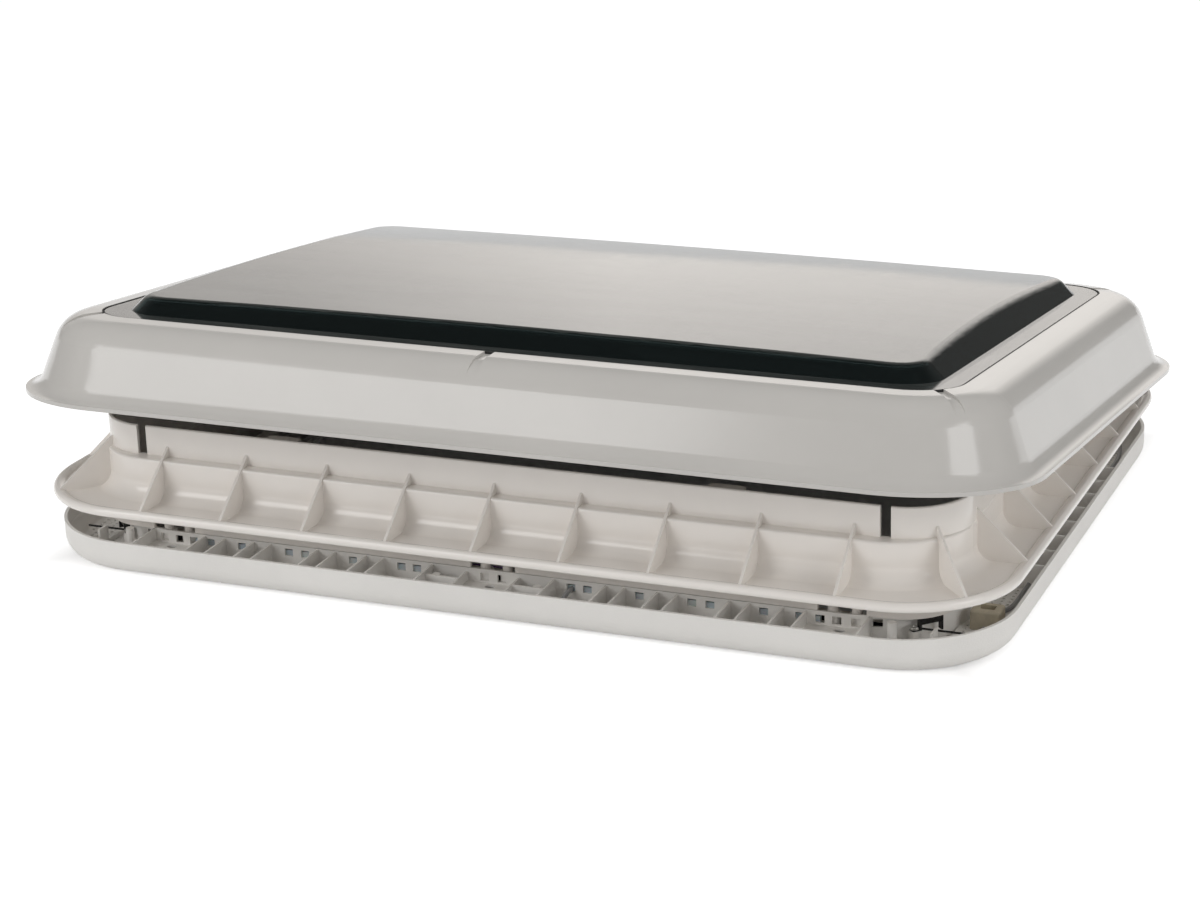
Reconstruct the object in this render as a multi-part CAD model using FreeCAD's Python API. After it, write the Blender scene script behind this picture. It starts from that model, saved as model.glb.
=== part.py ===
import FreeCAD, Part
import math
import os

# Roof skylight for a caravan or camper, in millimetres.
# The origin is the middle of the roof cut-out, on the roof's outer face, with +Z up.
# The front, which lifts, is at -Y and the hinge is at +Y.

# Roof cut-out and the collar that fills it
cutout_length = 700.0
cutout_width = 500.0
cutout_gap = 2.0
collar_wall = 3.0
collar_depth = 21.5
collar_corner = 43.0
collar_notch = 36.5

# Outer flange, its rim bead and the upstand
flange_overhang_x = 42.0
flange_overhang_y = 39.0
flange_corner = 85.0
flange_thickness = 4.0
bead_height = 7.0
bead_width = 9.5
bead_relief = 1.5
wall_inset_x = 41.0
wall_inset_y = 51.0
upstand_corner = 47.0
upstand_wall = 3.0
upstand_height = 59.0
upstand_fillet = 12.5
ledge_depth = (0.5, 10.5)
ledge_corner = 57.0
ledge_height = 35.5
ledge_round = 2.0
wall_slot_x = 301.0
wall_slot_width = 8.0

# Stiffening ribs on the upstand
rib_thickness = 2.0
rib_pitch_long = 69.6
rib_count_long = 9
rib_pitch_short = 72.0
rib_count_short = 6
rib_height = 43.8
rib_turn = 42.0
rib_toe_inset = 3.0
rib_toe_height = 6.5
rear_rib_reach = 14.0
rear_rib_height = 32.0

# Clamp bosses, their columns in the tray and their screws
boss_x = (-272.0, 0.0, 272.0)
boss_spread = 9.1
boss_inset_y = 9.5
boss_radius = 4.0
boss_drop = 24.0
boss_lug_half = 15.0
column_radius = 6.0
screw_gap = 0.05
clamp_screw_radius = 1.95
clamp_head_radius = 3.6
clamp_head_height = 2.3
head_gap = 0.15
clamp_recess = 2.6
clamp_screw_top = -9.0

# Ceiling tray
tray_overhang_x = 37.5
tray_overhang_y = 34.5
tray_corner = 84.0
tray_top = -22.0
tray_bottom = -49.0
tray_round = 14.0
tray_wall = 2.5
tray_floor = 3.0
tray_inner_corner = 78.0
tray_inner_wall = 2.0
bezel_inset_x = 47.0
bezel_inset_y = 45.0
bezel_corner = 30.0
partition_thickness = 1.6
partition_drop = 0.8
partition_x = (49.7, 90.8, 105.6, 131.5, 146.8, 187.4, 202.2, 227.5, 245.0, 292.0)
side_partition_pitch = 32.2
side_partition_count = 8
box_wall_x = 21.5
box_depth = 14.5
box_wall_top = -25.0
box_boss_x = 41.0
box_boss_radius = 3.0
plate_top = -32.5
plate_thickness = 1.6
plate_slot_length = 8.0
plate_slot_width = 5.0
plate_slot_reach = 6.0
window_x = (7.0, 63.0, 76.0, 117.0, 158.0, 172.0, 213.0, 240.5, 255.5, 268.0, 282.0, 296.8)
window_width = 7.0
window_height = 6.0
window_top = -25.0
vent_pitch = 8.1
vent_half_count = 36
vent_width = 3.9
vent_inset = 6.5
vent_length = 10.5
screw_post_inset = (65.8, 48.2)
screw_post_radius = 4.0
screw_post_top = -33.0
round_post_inset = (77.5, 32.5)
round_post_radius = 3.4
round_post_top = -20.5
tab_inset = (49.5, 32.5)
tab_width = 2.0
tab_depth = 12.0
tab_top = -27.0

# Corner vent grilles in the tray
grille_top = -42.0
grille_thickness = 1.5
grille_rim = 1.5
grille_gap = 0.3
grille_inset = (44.5, 170.5)
grille_hole_radius = 1.3
grille_hole_pitch = 5.8
grille_hole_margin = 3.2
grille_seat = 4.0

# Spring clips and the screws that hold them
post_screw_radius = 1.4
post_screw_depth = 9.0
post_screw_head = 3.4
post_screw_head_height = 2.2
clip_width = 5.0
clip_thickness = 1.2
clip_depth = 4.5
clip_rise = 3.8
clip_top = -24.3
clip_reach = 22.0
clip_leg_foot = -35.4
clip_rod_radius = 0.8
clip_rod_length = 38.0

# Light strips and their wires
led_depth = 3.4
led_top = -26.8
led_height = 5.5
led_start_x = 18.0
led_end_x = 255.0
wire_radius = 0.65
wire_x = (26.0, 28.0)
wire_gap = (1.5, 3.2)
wire_rise = 1.6

# Supply connector and the cables that run from it to the light strips
cable_radius = 1.7
cable_gap = 0.1
cable_hole_radius = 3.2
cable_channel_y = 274.0
cable_channel_x = 372.0
cable_window_x = 63.0
cable_window_level = -29.0
connector_inset = (24.5, 92.0)
connector_length = 22.0
connector_width = 18.0
connector_top = -27.0
connector_round = 2.0
connector_socket_length = 12.0
connector_socket_width = 8.0
connector_socket_depth = 9.0
connector_pin_radius = 1.0
connector_pin_height = 3.0

# Light switch in the tray's floor
switch_inset = 27.5
switch_radius = 4.5
switch_gap = 0.1
switch_recess = 0.3
switch_flange_radius = 5.8
switch_flange_gap = 0.3
switch_flange_height = 1.2
switch_travel = 1.2
switch_case_length = 24.0
switch_case_width = 15.0
switch_case_height = 9.0

# Blind, insect screen and their guide rails
rail_inset = 6.0
rail_width = 14.0
rail_end_gap = 22.0
groove_depth = 8.0
groove_gap = 0.3
bar_height = 7.0
bar_depth = 12.0
bar_end_gap = 0.5
bar_inset = 29.0
bar_round = 1.5
shade_level = -27.5
screen_level = -38.5
grip_length = 70.0
grip_reach = 14.0
grip_thickness = 3.0
grip_round = 5.0
pleat_height = 6.0
pleat_depth = 9.6
pleat_gap = 0.2
pleat_end_gap = 3.0

# Lid outline, the hinge axis and the angle at which the lid stands
lid_overhang_x = 14.5
lid_overhang_y = 14.0
lid_corner = 100.0
lip_level = 23.0
hinge_reach = 34.0
hinge_z = 50.0
rest_angle = 6.75
full_angle = 50.0

# Lid skirt section, from the lip inwards and upwards
skirt_wall = 3.0
flare_radius = 14.0
lean_angle = 20.0
shoulder_radius = 27.0
shoulder_inset = 49.6
shoulder_height = 33.4
top_slope = 5.0
band_inset = 60.0
web_thickness = 3.0
rebate_inset = 74.0
rebate_height = 53.0
drain_width = 8.0
drain_depth = 2.0
drain_end_angle = 145.0

# Panes and their gasket
gasket_bed = 1.0
gasket_lip = 1.3
gasket_relief = 0.2
pane_gap = 0.1
pane_thickness = 4.0
pane_rim = 17.0
pane_edge_round = 1.0
crown_corner_radius = 34.0
crown_corner_height = 11.0
crown_sag_x = 2.0
crown_sag_y = 6.0
crown_fillet = 12.0
crown_inner_fillet = 5.0
inner_pane_thickness = 2.5
inner_pane_gap = 0.3

# Lid ring, its screws and the bulb seal
ring_inset = 46.0
ring_thickness = 5.0
ring_opening_inset = 103.0
ring_opening_corner = 30.0
ring_rebate = 7.0
ring_screw_inset = (65.5, 59.5)
ring_screw_x = (-270.0, -90.0, 90.0, 270.0)
ring_screw_y = (-140.0, 0.0, 140.0)
ring_screw_radius = 1.5
ring_screw_head = 3.0
ring_screw_head_height = 1.6
ring_screw_length = 7.2
seal_overhang = 2.0
seal_width = 7.0
seal_gap = 0.3

# Hinges
hinge_x = 243.6
hinge_pin_radius = 2.5
hinge_pin_fit = 0.02
hinge_pin_gap = 0.06
hinge_pin_head = 3.6
hinge_pin_head_length = 1.5
knuckle_radius = 4.5
lid_knuckle_half = 7.5
knuckle_gap = 0.5
knuckle_length = 14.0
hinge_arm = 4.0
bracket_plate = 2.0
bracket_bottom = 38.0
bracket_top = 59.0
leaf_plate = 3.0
leaf_gap = 0.3
leaf_foot_depth = 9.3
leaf_foot_thickness = 2.0
leaf_half_width = 15.0
leaf_shoulder = 60.0
hinge_screw_x = 15.5
hinge_screw_z = 55.5
leaf_screw_x = 10.0
leaf_screw_inset = 5.1
hinge_screw_radius = 1.6
hinge_screw_head = 3.2
hinge_screw_head_height = 1.6
hinge_screw_length = 4.6
leaf_screw_length = 6.0

# Stays: an arm hung from the lid, whose foot slides in a rail level with the hinge
stay_length = 190.0
stay_drop = 9.0
stay_rail_gap = 1.0
stay_thickness = 3.0
stay_half_width = 5.0
stay_eye_radius = 6.0
stay_pin_radius = 2.0
stay_pin_gap = 0.05
stay_side_gap = 0.3
stay_pin_head = 3.2
stay_pin_head_length = 1.0
stay_rail_depth = 10.0
stay_rail_height = 12.0
stay_slot_height = 7.0
stay_slot_depth = 7.0
stay_shoe_gap = 0.3
stay_shoe_length = 16.0
stay_shoe_round = 2.0
stay_slot_margin = 1.0
stay_rail_end = 3.0
stay_bracket_half = 11.0
stay_bracket_reach = 15.0
stay_bracket_plate = 2.0
stay_cheek = 4.0
stay_bracket_screw_reach = 10.0
stay_bracket_screw_y = 7.0

# Latches and their keepers
latch_x = 180.0
latch_inset = 22.0
latch_hub_radius = 8.0
latch_hub_gap = 0.4
latch_stud_radius = 3.0
latch_stud_gap = 0.1
latch_stud_root = 4.0
latch_stud_fit = 0.02
latch_stud_head = 6.0
latch_stud_head_height = 2.4
latch_stud_head_gap = 0.4
latch_lever_thickness = 7.4
latch_lever_gap = 0.6
latch_hook_reach = 18.0
latch_hook_half = 5.0
latch_handle_reach = 44.0
latch_handle_half = 6.0
keeper_half = 14.0
keeper_depth = 10.0
keeper_bottom = 51.5
keeper_height = 6.0
keeper_round = 3.0

# Worked out from the sizes above
flange_length = cutout_length + 2 * flange_overhang_x
flange_width = cutout_width + 2 * flange_overhang_y
flange_half_x = flange_length / 2
flange_half_y = flange_width / 2
collar_length = cutout_length - 2 * cutout_gap
collar_width = cutout_width - 2 * cutout_gap
aperture = (collar_length - 2 * collar_wall, collar_width - 2 * collar_wall,
            collar_corner - collar_wall)
wall_out_x = flange_half_x - wall_inset_x
wall_out_y = flange_half_y - wall_inset_y
wall_in_x = wall_out_x - upstand_wall
wall_in_y = wall_out_y - upstand_wall
upstand_outline = (2 * wall_out_x, 2 * wall_out_y, upstand_corner)
ledge_outline = (2 * (wall_out_x + ledge_depth[0]), 2 * (wall_out_y + ledge_depth[1]),
                 ledge_corner)
ledge_bottom = ledge_height - upstand_wall
boss_y = cutout_width / 2 - boss_inset_y
tray_half_x = cutout_length / 2 + tray_overhang_x
tray_half_y = cutout_width / 2 + tray_overhang_y
tray_wall_out_x = collar_length / 2
tray_wall_out_y = collar_width / 2
tray_wall_in_y = tray_wall_out_y - tray_inner_wall
tray_floor_top = tray_bottom + tray_floor
tray_outline = (2 * tray_half_x, 2 * tray_half_y, tray_corner)
tray_wall_outline = (collar_length, collar_width, tray_inner_corner)
bezel_half_x = cutout_length / 2 - bezel_inset_x
bezel_half_y = cutout_width / 2 - bezel_inset_y
box_back_y = tray_wall_out_y + box_depth
plate_slot_y = tray_wall_out_y + plate_slot_reach
vent_outer_y = tray_half_y - vent_inset
screw_post_x = tray_half_x - screw_post_inset[0]
screw_post_y = tray_half_y - screw_post_inset[1]
round_post_x = tray_half_x - round_post_inset[0]
round_post_y = tray_half_y - round_post_inset[1]
tab_x = tray_half_x - tab_inset[0]
tab_y = tray_half_y - tab_inset[1]
grille_start_x = tray_half_x - grille_inset[0]
grille_start_y = tray_half_y - grille_inset[1]
connector_x = tray_half_x - connector_inset[0]
connector_y = tray_half_y - connector_inset[1]
switch_y = tray_half_y - switch_inset
rail_inner_x = bezel_half_x + rail_inset
bar_y = tray_wall_in_y - bar_inset
cable_level = grille_top + cable_radius + cable_gap
clip_foot_top = screw_post_top + clip_thickness
lid_half_x = flange_half_x + lid_overhang_x
lid_half_y = flange_half_y + lid_overhang_y
lid_outline = (2 * lid_half_x, 2 * lid_half_y, lid_corner)
ring_opening = (2 * (lid_half_x - ring_opening_inset), 2 * (lid_half_y - ring_opening_inset),
                ring_opening_corner)
hinge_y = wall_out_y + hinge_reach
leaf_back = lid_half_y - ring_inset + leaf_gap
leaf_screw_y = leaf_back - leaf_screw_inset
latch_y = wall_in_y - latch_inset
stay_x = wall_in_x - stay_rail_depth - stay_rail_gap - stay_thickness
stay_bracket_screw_x = stay_x - stay_bracket_screw_reach
shoulder_z = lip_level + shoulder_height
band_top = (shoulder_z + shoulder_radius * math.sin(math.radians(90 + top_slope))
            + (band_inset - shoulder_inset + shoulder_radius * math.sin(math.radians(top_slope)))
            * math.tan(math.radians(top_slope)))
ring_top = lip_level + rebate_height
ring_bottom = ring_top - ring_thickness
bed_top = ring_top + skirt_wall + gasket_bed
pane_top = bed_top + pane_thickness
crown_top = pane_top + crown_corner_height + crown_sag_x + crown_sag_y
stay_pin_level = ring_bottom - stay_drop
stay_pin_angle = math.degrees(math.asin((stay_pin_level - hinge_z) / stay_length))
stay_pin_y = hinge_y - stay_length * math.cos(math.radians(stay_pin_angle))
lever_top = keeper_bottom - latch_lever_gap
lever_bottom = lever_top - latch_lever_thickness

# Space taken well beyond a shape, or just beyond it, when it is cut or joined
BEYOND = 500.0
OVERLAP = 1.0

# The share of a run that a cable's arc may take at each end
ARC_SHARE = 0.45
QUARTER = 90.0
UP = FreeCAD.Vector(0, 0, 1)
CENTRE = FreeCAD.Vector(0, 0, 0)
SIDES = (-1, 1)


# Basic shapes

def vec(x, y, z):
    return FreeCAD.Vector(x, y, z)


def box(x0, x1, y0, y1, z0, z1):
    low = vec(min(x0, x1), min(y0, y1), min(z0, z1))
    return Part.makeBox(abs(x1 - x0), abs(y1 - y0), abs(z1 - z0), low)


def rod(radius, start, end):
    line = end - start
    return Part.makeCylinder(radius, line.Length, start, line)


def upright(radius, x, y, z0, z1):
    return rod(radius, vec(x, y, z0), vec(x, y, z1))


def plate(outline, z0, z1):
    """A slab with rounded corners on the origin; the outline is length, width and corner."""
    length, width, corner = outline
    body = box(-length / 2, length / 2, -width / 2, width / 2, z0, z1)
    edges = [e for e in body.Edges if abs(e.tangentAt(e.FirstParameter).z) > 0.5]
    return body.makeFillet(corner, edges)


def inset(outline, step):
    """The same outline moved inwards by a step."""
    length, width, corner = outline
    return length - 2 * step, width - 2 * step, corner - step


def ring(outer, inner, z0, z1):
    return plate(outer, z0, z1).cut(plate(inner, z0 - OVERLAP, z1 + OVERLAP))


def arc(centre_x, centre_z, radius, first, last):
    """A section step: the middle and end points of an arc, from its centre and two angles."""
    middle = math.radians((first + last) / 2)
    end = math.radians(last)
    return ((centre_x + radius * math.cos(middle), centre_z + radius * math.sin(middle)),
            (centre_x + radius * math.cos(end), centre_z + radius * math.sin(end)))


def section(start, steps, place):
    """A closed face from a start and its steps: a point is a line, a pair of points an arc."""
    edges = []
    here = start
    for step in list(steps) + [start]:
        if isinstance(step[0], tuple):
            edges.append(Part.Arc(place(*here), place(*step[0]), place(*step[1])).toShape())
            here = step[1]
        else:
            edges.append(Part.makeLine(place(*here), place(*step)))
            here = step
    return Part.Face(Part.Wire(edges))


def swept_ring(outline, start, steps):
    """A section, as inset and height, carried round a rounded outline."""
    length, width, corner = outline
    solids = []
    for turn in range(4):
        half, run = (length / 2, width / 2) if turn % 2 == 0 else (width / 2, length / 2)
        run -= corner
        side = section(start, steps, lambda o, z: vec(half - o, -run, z))
        end = section(start, steps, lambda o, z: vec(half - o, run, z))
        for solid in (side.extrude(vec(0, 2 * run, 0)),
                      end.revolve(vec(half - corner, run, 0), UP, QUARTER)):
            solid.rotate(CENTRE, UP, QUARTER * turn)
            solids.append(solid)
    return solids[0].multiFuse(solids[1:]).removeSplitter()


def mirrored(shape, normal):
    return shape.mirror(CENTRE, normal)


def left_and_right(shape):
    return [shape, mirrored(shape, vec(1, 0, 0))]


def four_corners(shape):
    pair = left_and_right(shape)
    return pair + [mirrored(s, vec(0, 1, 0)) for s in pair]


def opened(shape):
    """A lid piece, modelled shut, turned about the hinge to where it stands."""
    turned = shape.copy()
    turned.rotate(vec(0, hinge_y, hinge_z), vec(-1, 0, 0), rest_angle)
    return turned


def group(shapes):
    return Part.makeCompound([s for shape in shapes for s in shape.Solids])


def joined(shapes):
    return shapes[0].multiFuse(shapes[1:]).removeSplitter()


def tube(points, radius):
    """A round tube along straight runs, joined by tangent arcs as wide as the runs allow."""
    edges = []
    start = points[0]
    for before, corner, after in zip(points, points[1:], points[2:]):
        back = before - corner
        ahead = after - corner
        reach = ARC_SHARE * min(back.Length, ahead.Length)
        half_turn = (math.pi - back.getAngle(ahead)) / 2
        bend = reach / math.tan(half_turn)
        back.normalize()
        ahead.normalize()
        inward = (back + ahead).normalize()
        first = corner + back * reach
        last = corner + ahead * reach
        middle = corner + inward * (bend / math.cos(half_turn) - bend)
        edges.append(Part.makeLine(start, first))
        edges.append(Part.Arc(first, middle, last).toShape())
        start = last
    edges.append(Part.makeLine(start, points[-1]))
    disc = Part.Wire(Part.makeCircle(radius, points[0], points[1] - points[0]))
    return Part.Wire(edges).makePipeShell([disc], True, False)


def pan_screw(at, way, shank, length, head, head_height):
    """A pan-head screw: the head sits on the point and the shank runs along the direction."""
    cap = rod(head, at - way * head_height, at)
    crown = at - way * head_height
    rim = [e for e in cap.Edges if abs((e.CenterOfMass - crown).dot(way)) < head_height / 4]
    cap = cap.makeFillet(head_height / 3, rim)
    recess = rod(head / 3, crown - way, crown + way * (head_height / 3))
    return joined([rod(shank, at, at + way * length), cap]).cut(recess)


def stadium(half_width, reach, z0, z1):
    """A flat bar from the origin along +X with a round end."""
    bar = box(0, reach - half_width, -half_width, half_width, z0, z1)
    return joined([bar, upright(half_width, reach - half_width, 0, z0, z1)])


# Outer flange with its upstand

def rim_steps():
    """The flange's rounded rim with its raised bead."""
    return [
        ((0.0, bead_height / 2), (2 * bead_relief, bead_height)),
        ((bead_width - 2 * bead_relief, bead_height - bead_relief / 2),
         (bead_width, flange_thickness)),
        (bead_width, 0.0),
    ]


def lower_wall_steps():
    """The wall under the ledge, over the fillet at its foot."""
    centre = flange_thickness + upstand_fillet
    edge = ledge_height - ledge_round
    return [
        (-upstand_fillet, flange_thickness),
        arc(-upstand_fillet, centre, upstand_fillet, -QUARTER, 0.0),
        (0.0, edge),
        arc(ledge_round, edge, ledge_round, 2 * QUARTER, QUARTER),
        (upstand_wall, ledge_height),
        (upstand_wall, flange_thickness / 2),
    ]


def upper_wall_steps():
    lip = upstand_height - upstand_wall / 3
    return [(0.0, lip), ((upstand_wall / 2, upstand_height), (upstand_wall, lip)),
            (upstand_wall, ledge_bottom)]


def upstand():
    foot = (-upstand_fillet, flange_thickness / 2)
    return [swept_ring(ledge_outline, foot, lower_wall_steps()),
            ring(inset(ledge_outline, ledge_round), inset(upstand_outline, upstand_wall),
                 ledge_bottom, ledge_height),
            swept_ring(upstand_outline, (0.0, ledge_bottom), upper_wall_steps())]


def rib(reach, toe_height, tip_reach, tip_height, depth):
    """One rib in the plane X = 0, standing out from the upper wall at Y = 0 over a ledge."""
    base = flange_thickness / 2
    wall = upstand_wall / 2
    shelf = ledge_height - wall
    outline = [(reach, base), (reach, toe_height), (tip_reach, tip_height), (-wall, tip_height),
               (-wall, shelf), (depth - wall, shelf), (depth - wall, base)]
    face = section(outline[0], outline[1:], lambda o, z: vec(-rib_thickness / 2, -o, z))
    return face.extrude(vec(rib_thickness, 0, 0))


def diagonal_reach():
    """How far a corner's rib stands out from the upstand to reach the flange's rim."""
    shift_x = wall_out_x - upstand_corner - (flange_half_x - flange_corner)
    shift_y = wall_out_y - upstand_corner - (flange_half_y - flange_corner)
    turn = math.radians(rib_turn)
    along = shift_x * math.sin(turn) + shift_y * math.cos(turn)
    rim = flange_corner - rib_toe_inset
    return (math.sqrt(rim ** 2 + along ** 2 - shift_x ** 2 - shift_y ** 2) - along
            - upstand_corner)


def ribs():
    deep = ledge_depth[1]
    front = rib(wall_inset_y - rib_toe_inset, rib_toe_height, 0.0, rib_height, deep)
    side = rib(wall_inset_x - rib_toe_inset, rib_toe_height, 0.0, rib_height, ledge_depth[0])
    rear = rib(rear_rib_reach, rear_rib_height, ledge_round, rib_height, deep)
    diagonal = rib(diagonal_reach(), rib_toe_height, 0.0, rib_height, deep / 3)
    shapes = []
    for k in range(rib_count_long):
        x = rib_pitch_long * (k - (rib_count_long - 1) / 2)
        for shape in (front.copy(), rear.copy()):
            shape.translate(vec(x, -wall_out_y, 0))
            shapes.append(shape)
        shapes[-1] = mirrored(shapes[-1], vec(0, 1, 0))
    side.rotate(CENTRE, UP, QUARTER)
    side.translate(vec(wall_out_x, 0, 0))
    for k in range(rib_count_short):
        shape = side.copy()
        shape.translate(vec(0, rib_pitch_short * (k - (rib_count_short - 1) / 2), 0))
        shapes += left_and_right(shape)
    diagonal.translate(vec(0, -upstand_corner, 0))
    diagonal.rotate(CENTRE, UP, rib_turn)
    diagonal.translate(vec(wall_out_x - upstand_corner, upstand_corner - wall_out_y, 0))
    return shapes + four_corners(diagonal)


def boss_places():
    return [(x + side * boss_spread, way * boss_y)
            for x in boss_x for side in SIDES for way in SIDES]


def hinge_screw_places():
    return [side * hinge_x + way * hinge_screw_x for side in SIDES for way in SIDES]


def roof_flange():
    outline = (flange_length, flange_width, flange_corner)
    adds = [swept_ring(outline, (bead_relief, 0.0), rim_steps()),
            ring(inset(outline, bead_width - OVERLAP), aperture, 0, flange_thickness)]
    collar = ring((collar_length, collar_width, collar_corner), aperture, -collar_depth, OVERLAP)
    for x in boss_x:
        half = collar_notch / 2
        collar = collar.cut(box(x - half, x + half, -BEYOND, BEYOND, -BEYOND, 0))
        for way in SIDES:
            adds.append(box(x - boss_lug_half, x + boss_lug_half, way * (boss_y - boss_radius),
                            way * (aperture[1] / 2 + OVERLAP), 0, flange_thickness))
    adds += [collar] + upstand() + ribs()
    for x, y in boss_places():
        adds.append(upright(boss_radius, x, y, -boss_drop, OVERLAP))
    cuts = []
    for x, y in boss_places():
        cuts.append(upright(clamp_screw_radius + screw_gap, x, y, -BEYOND,
                            clamp_screw_top + OVERLAP))
    for x in (-wall_slot_x, wall_slot_x):
        half = wall_slot_width / 2
        for way in SIDES:
            cuts.append(box(x - half, x + half, way * (wall_out_y + OVERLAP),
                            way * (wall_in_y - OVERLAP), ledge_height, BEYOND))
    for x in hinge_screw_places():
        cuts.append(rod(hinge_screw_radius + screw_gap, vec(x, wall_in_y - OVERLAP, hinge_screw_z),
                        vec(x, wall_out_y + OVERLAP, hinge_screw_z)))
    return joined(adds).cut(group(cuts)).removeSplitter()


# Ceiling tray

def tray_steps():
    centre = tray_bottom + tray_round
    flat = tray_corner / 2
    return [
        (0.0, centre),
        arc(tray_round, centre, tray_round, 2 * QUARTER, 3 * QUARTER),
        (flat, tray_bottom),
        (flat, tray_floor_top),
        (tray_round, tray_floor_top),
        arc(tray_round, centre, tray_round - tray_floor, 3 * QUARTER, 2 * QUARTER),
        (tray_wall, centre + OVERLAP),
        (tray_wall, tray_top),
    ]


def inner_face_y(x):
    """Where the inner face of the tray's inner wall stands in Y at a given X."""
    bend_x = tray_wall_out_x - tray_inner_corner
    bend_y = tray_wall_out_y - tray_inner_corner
    corner = tray_inner_corner - tray_inner_wall
    if x <= bend_x:
        return tray_wall_in_y
    return bend_y + math.sqrt(corner ** 2 - (x - bend_x) ** 2)


def channel_partitions():
    """Cross walls, plates and the screw box of a quarter of the long channels."""
    outer = tray_half_y
    inner = tray_half_y - tray_corner
    low = tray_floor_top - OVERLAP
    half = partition_thickness / 2
    under = plate_top - plate_thickness
    shapes = [box(x - half, x + half, -outer, -inner, low, tray_top - partition_drop)
              for x in partition_x]
    shapes.append(box(box_wall_x - half, box_wall_x + half, -outer, -inner, low, box_wall_top))
    shapes.append(box(box_wall_x, partition_x[0], -box_back_y - half, half - box_back_y, low,
                      box_wall_top))
    shapes.append(upright(box_boss_radius, box_boss_x, box_boss_radius - box_back_y, low,
                          box_wall_top))
    shapes.append(box(-OVERLAP, box_wall_x, -outer, -inner, under, plate_top))
    shapes.append(box(partition_x[-2], partition_x[-1], -outer, -inner, under, plate_top))
    return shapes


def corner_posts():
    """The screw post, the round post and the clip's tab near one corner."""
    low = tray_floor_top - OVERLAP
    return [upright(screw_post_radius, screw_post_x, -screw_post_y, low, screw_post_top),
            upright(round_post_radius, round_post_x, -round_post_y, low, round_post_top),
            box(tab_x, tab_x + tab_width, -tab_y, tab_depth - tab_y, low, tab_top)]


def side_partitions():
    half = partition_thickness / 2
    shapes = []
    for k in range(side_partition_count):
        y = side_partition_pitch * (k - (side_partition_count - 1) / 2)
        shapes.append(box(tray_wall_out_x - tray_inner_wall, tray_half_x, y - half, y + half,
                          tray_floor_top - OVERLAP, tray_top - partition_drop))
    return shapes


def tray_openings():
    """Windows, slots, vents and screw holes in the tray."""
    cuts = []
    for x in window_x:
        half = window_width / 2
        cuts += four_corners(box(x - half, x + half, -tray_wall_out_y - OVERLAP,
                                 OVERLAP - inner_face_y(x + half), window_top - window_height,
                                 window_top))
    for x in boss_x:
        half = (plate_slot_length - plate_slot_width) / 2
        radius = plate_slot_width / 2
        under = plate_top - plate_thickness - OVERLAP
        over = plate_top + OVERLAP
        for y in (-plate_slot_y, plate_slot_y):
            cuts.append(joined([box(x - half, x + half, y - radius, y + radius, under, over),
                                upright(radius, x - half, y, under, over),
                                upright(radius, x + half, y, under, over)]))
    for x, y in boss_places():
        cuts.append(upright(clamp_screw_radius + screw_gap, x, y, -BEYOND, 0))
        cuts.append(upright(clamp_head_radius + head_gap, x, y, -BEYOND,
                            tray_bottom + clamp_recess))
    for k in range(-vent_half_count, vent_half_count + 1):
        half = vent_width / 2
        for way in SIDES:
            cuts.append(box(k * vent_pitch - half, k * vent_pitch + half,
                            way * (vent_outer_y - vent_length), way * vent_outer_y,
                            tray_bottom - OVERLAP, tray_floor_top + OVERLAP))
    for x, y in post_places():
        cuts.append(upright(post_screw_radius + screw_gap, x, y,
                            clip_foot_top - post_screw_depth - OVERLAP, 0))
    return cuts


def switch_and_cable_openings():
    cuts = [upright(switch_radius + switch_gap, 0, -switch_y, tray_bottom - OVERLAP,
                    tray_floor_top + OVERLAP)]
    first = partition_x[1] - 2 * partition_thickness
    last = partition_x[-1] + 2 * partition_thickness
    for y in (-cable_channel_y, cable_channel_y):
        cuts.append(rod(cable_hole_radius, vec(first, y, cable_level), vec(last, y, cable_level)))
    end = grille_start_y
    cuts.append(rod(cable_hole_radius, vec(cable_channel_x, -end, cable_level),
                    vec(cable_channel_x, end, cable_level)))
    return cuts


def inner_frame():
    wall = tray_wall_outline
    bezel = (2 * bezel_half_x, 2 * bezel_half_y, bezel_corner)
    low = tray_bottom + tray_floor / 2
    adds = [swept_ring(tray_outline, (0.0, tray_top), tray_steps()),
            ring(inset(tray_outline, tray_corner / 2 - OVERLAP), bezel, tray_bottom,
                 tray_floor_top),
            ring(wall, inset(wall, tray_inner_wall), tray_floor_top - OVERLAP, tray_top)]
    room = plate(inset(tray_outline, tray_wall / 2), low, tray_top)
    foot = [e for e in room.Edges if e.CenterOfMass.z < tray_floor_top]
    room = room.makeFillet(tray_round - tray_wall, foot)
    room = room.cut(plate(inset(wall, tray_inner_wall / 2), low - OVERLAP, tray_top + OVERLAP))
    for shape in channel_partitions() + corner_posts():
        adds += four_corners(shape.common(room))
    for shape in side_partitions():
        adds += left_and_right(shape.common(room))
    for x, y in boss_places():
        adds.append(upright(column_radius, x, y, tray_floor_top - OVERLAP, -boss_drop))
    cuts = tray_openings() + switch_and_cable_openings()
    seat = grille_space(grille_seat, tray_bottom - OVERLAP, tray_floor_top + OVERLAP)
    cuts += four_corners(seat)
    return joined(adds).cut(group(cuts)).removeSplitter()


# Vent grilles in the corners of the tray

def grille_space(margin, z0, z1):
    """The floor space of the front right corner, less a margin on every side."""
    outer = inset(tray_outline, tray_round + margin)
    inner = inset(tray_wall_outline, -margin)
    floor = ring(outer, inner, z0, z1)
    return floor.common(box(grille_start_x + margin, BEYOND, -BEYOND, -grille_start_y - margin,
                            z0, z1))


def depth_in(x, y, outline):
    """How far a point lies inside a rounded outline; less than nothing outside it."""
    length, width, corner = outline
    dx = x - (length / 2 - corner)
    dy = y - (width / 2 - corner)
    if dx > 0 and dy > 0:
        return corner - math.hypot(dx, dy)
    return corner - max(dx, dy)


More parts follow.
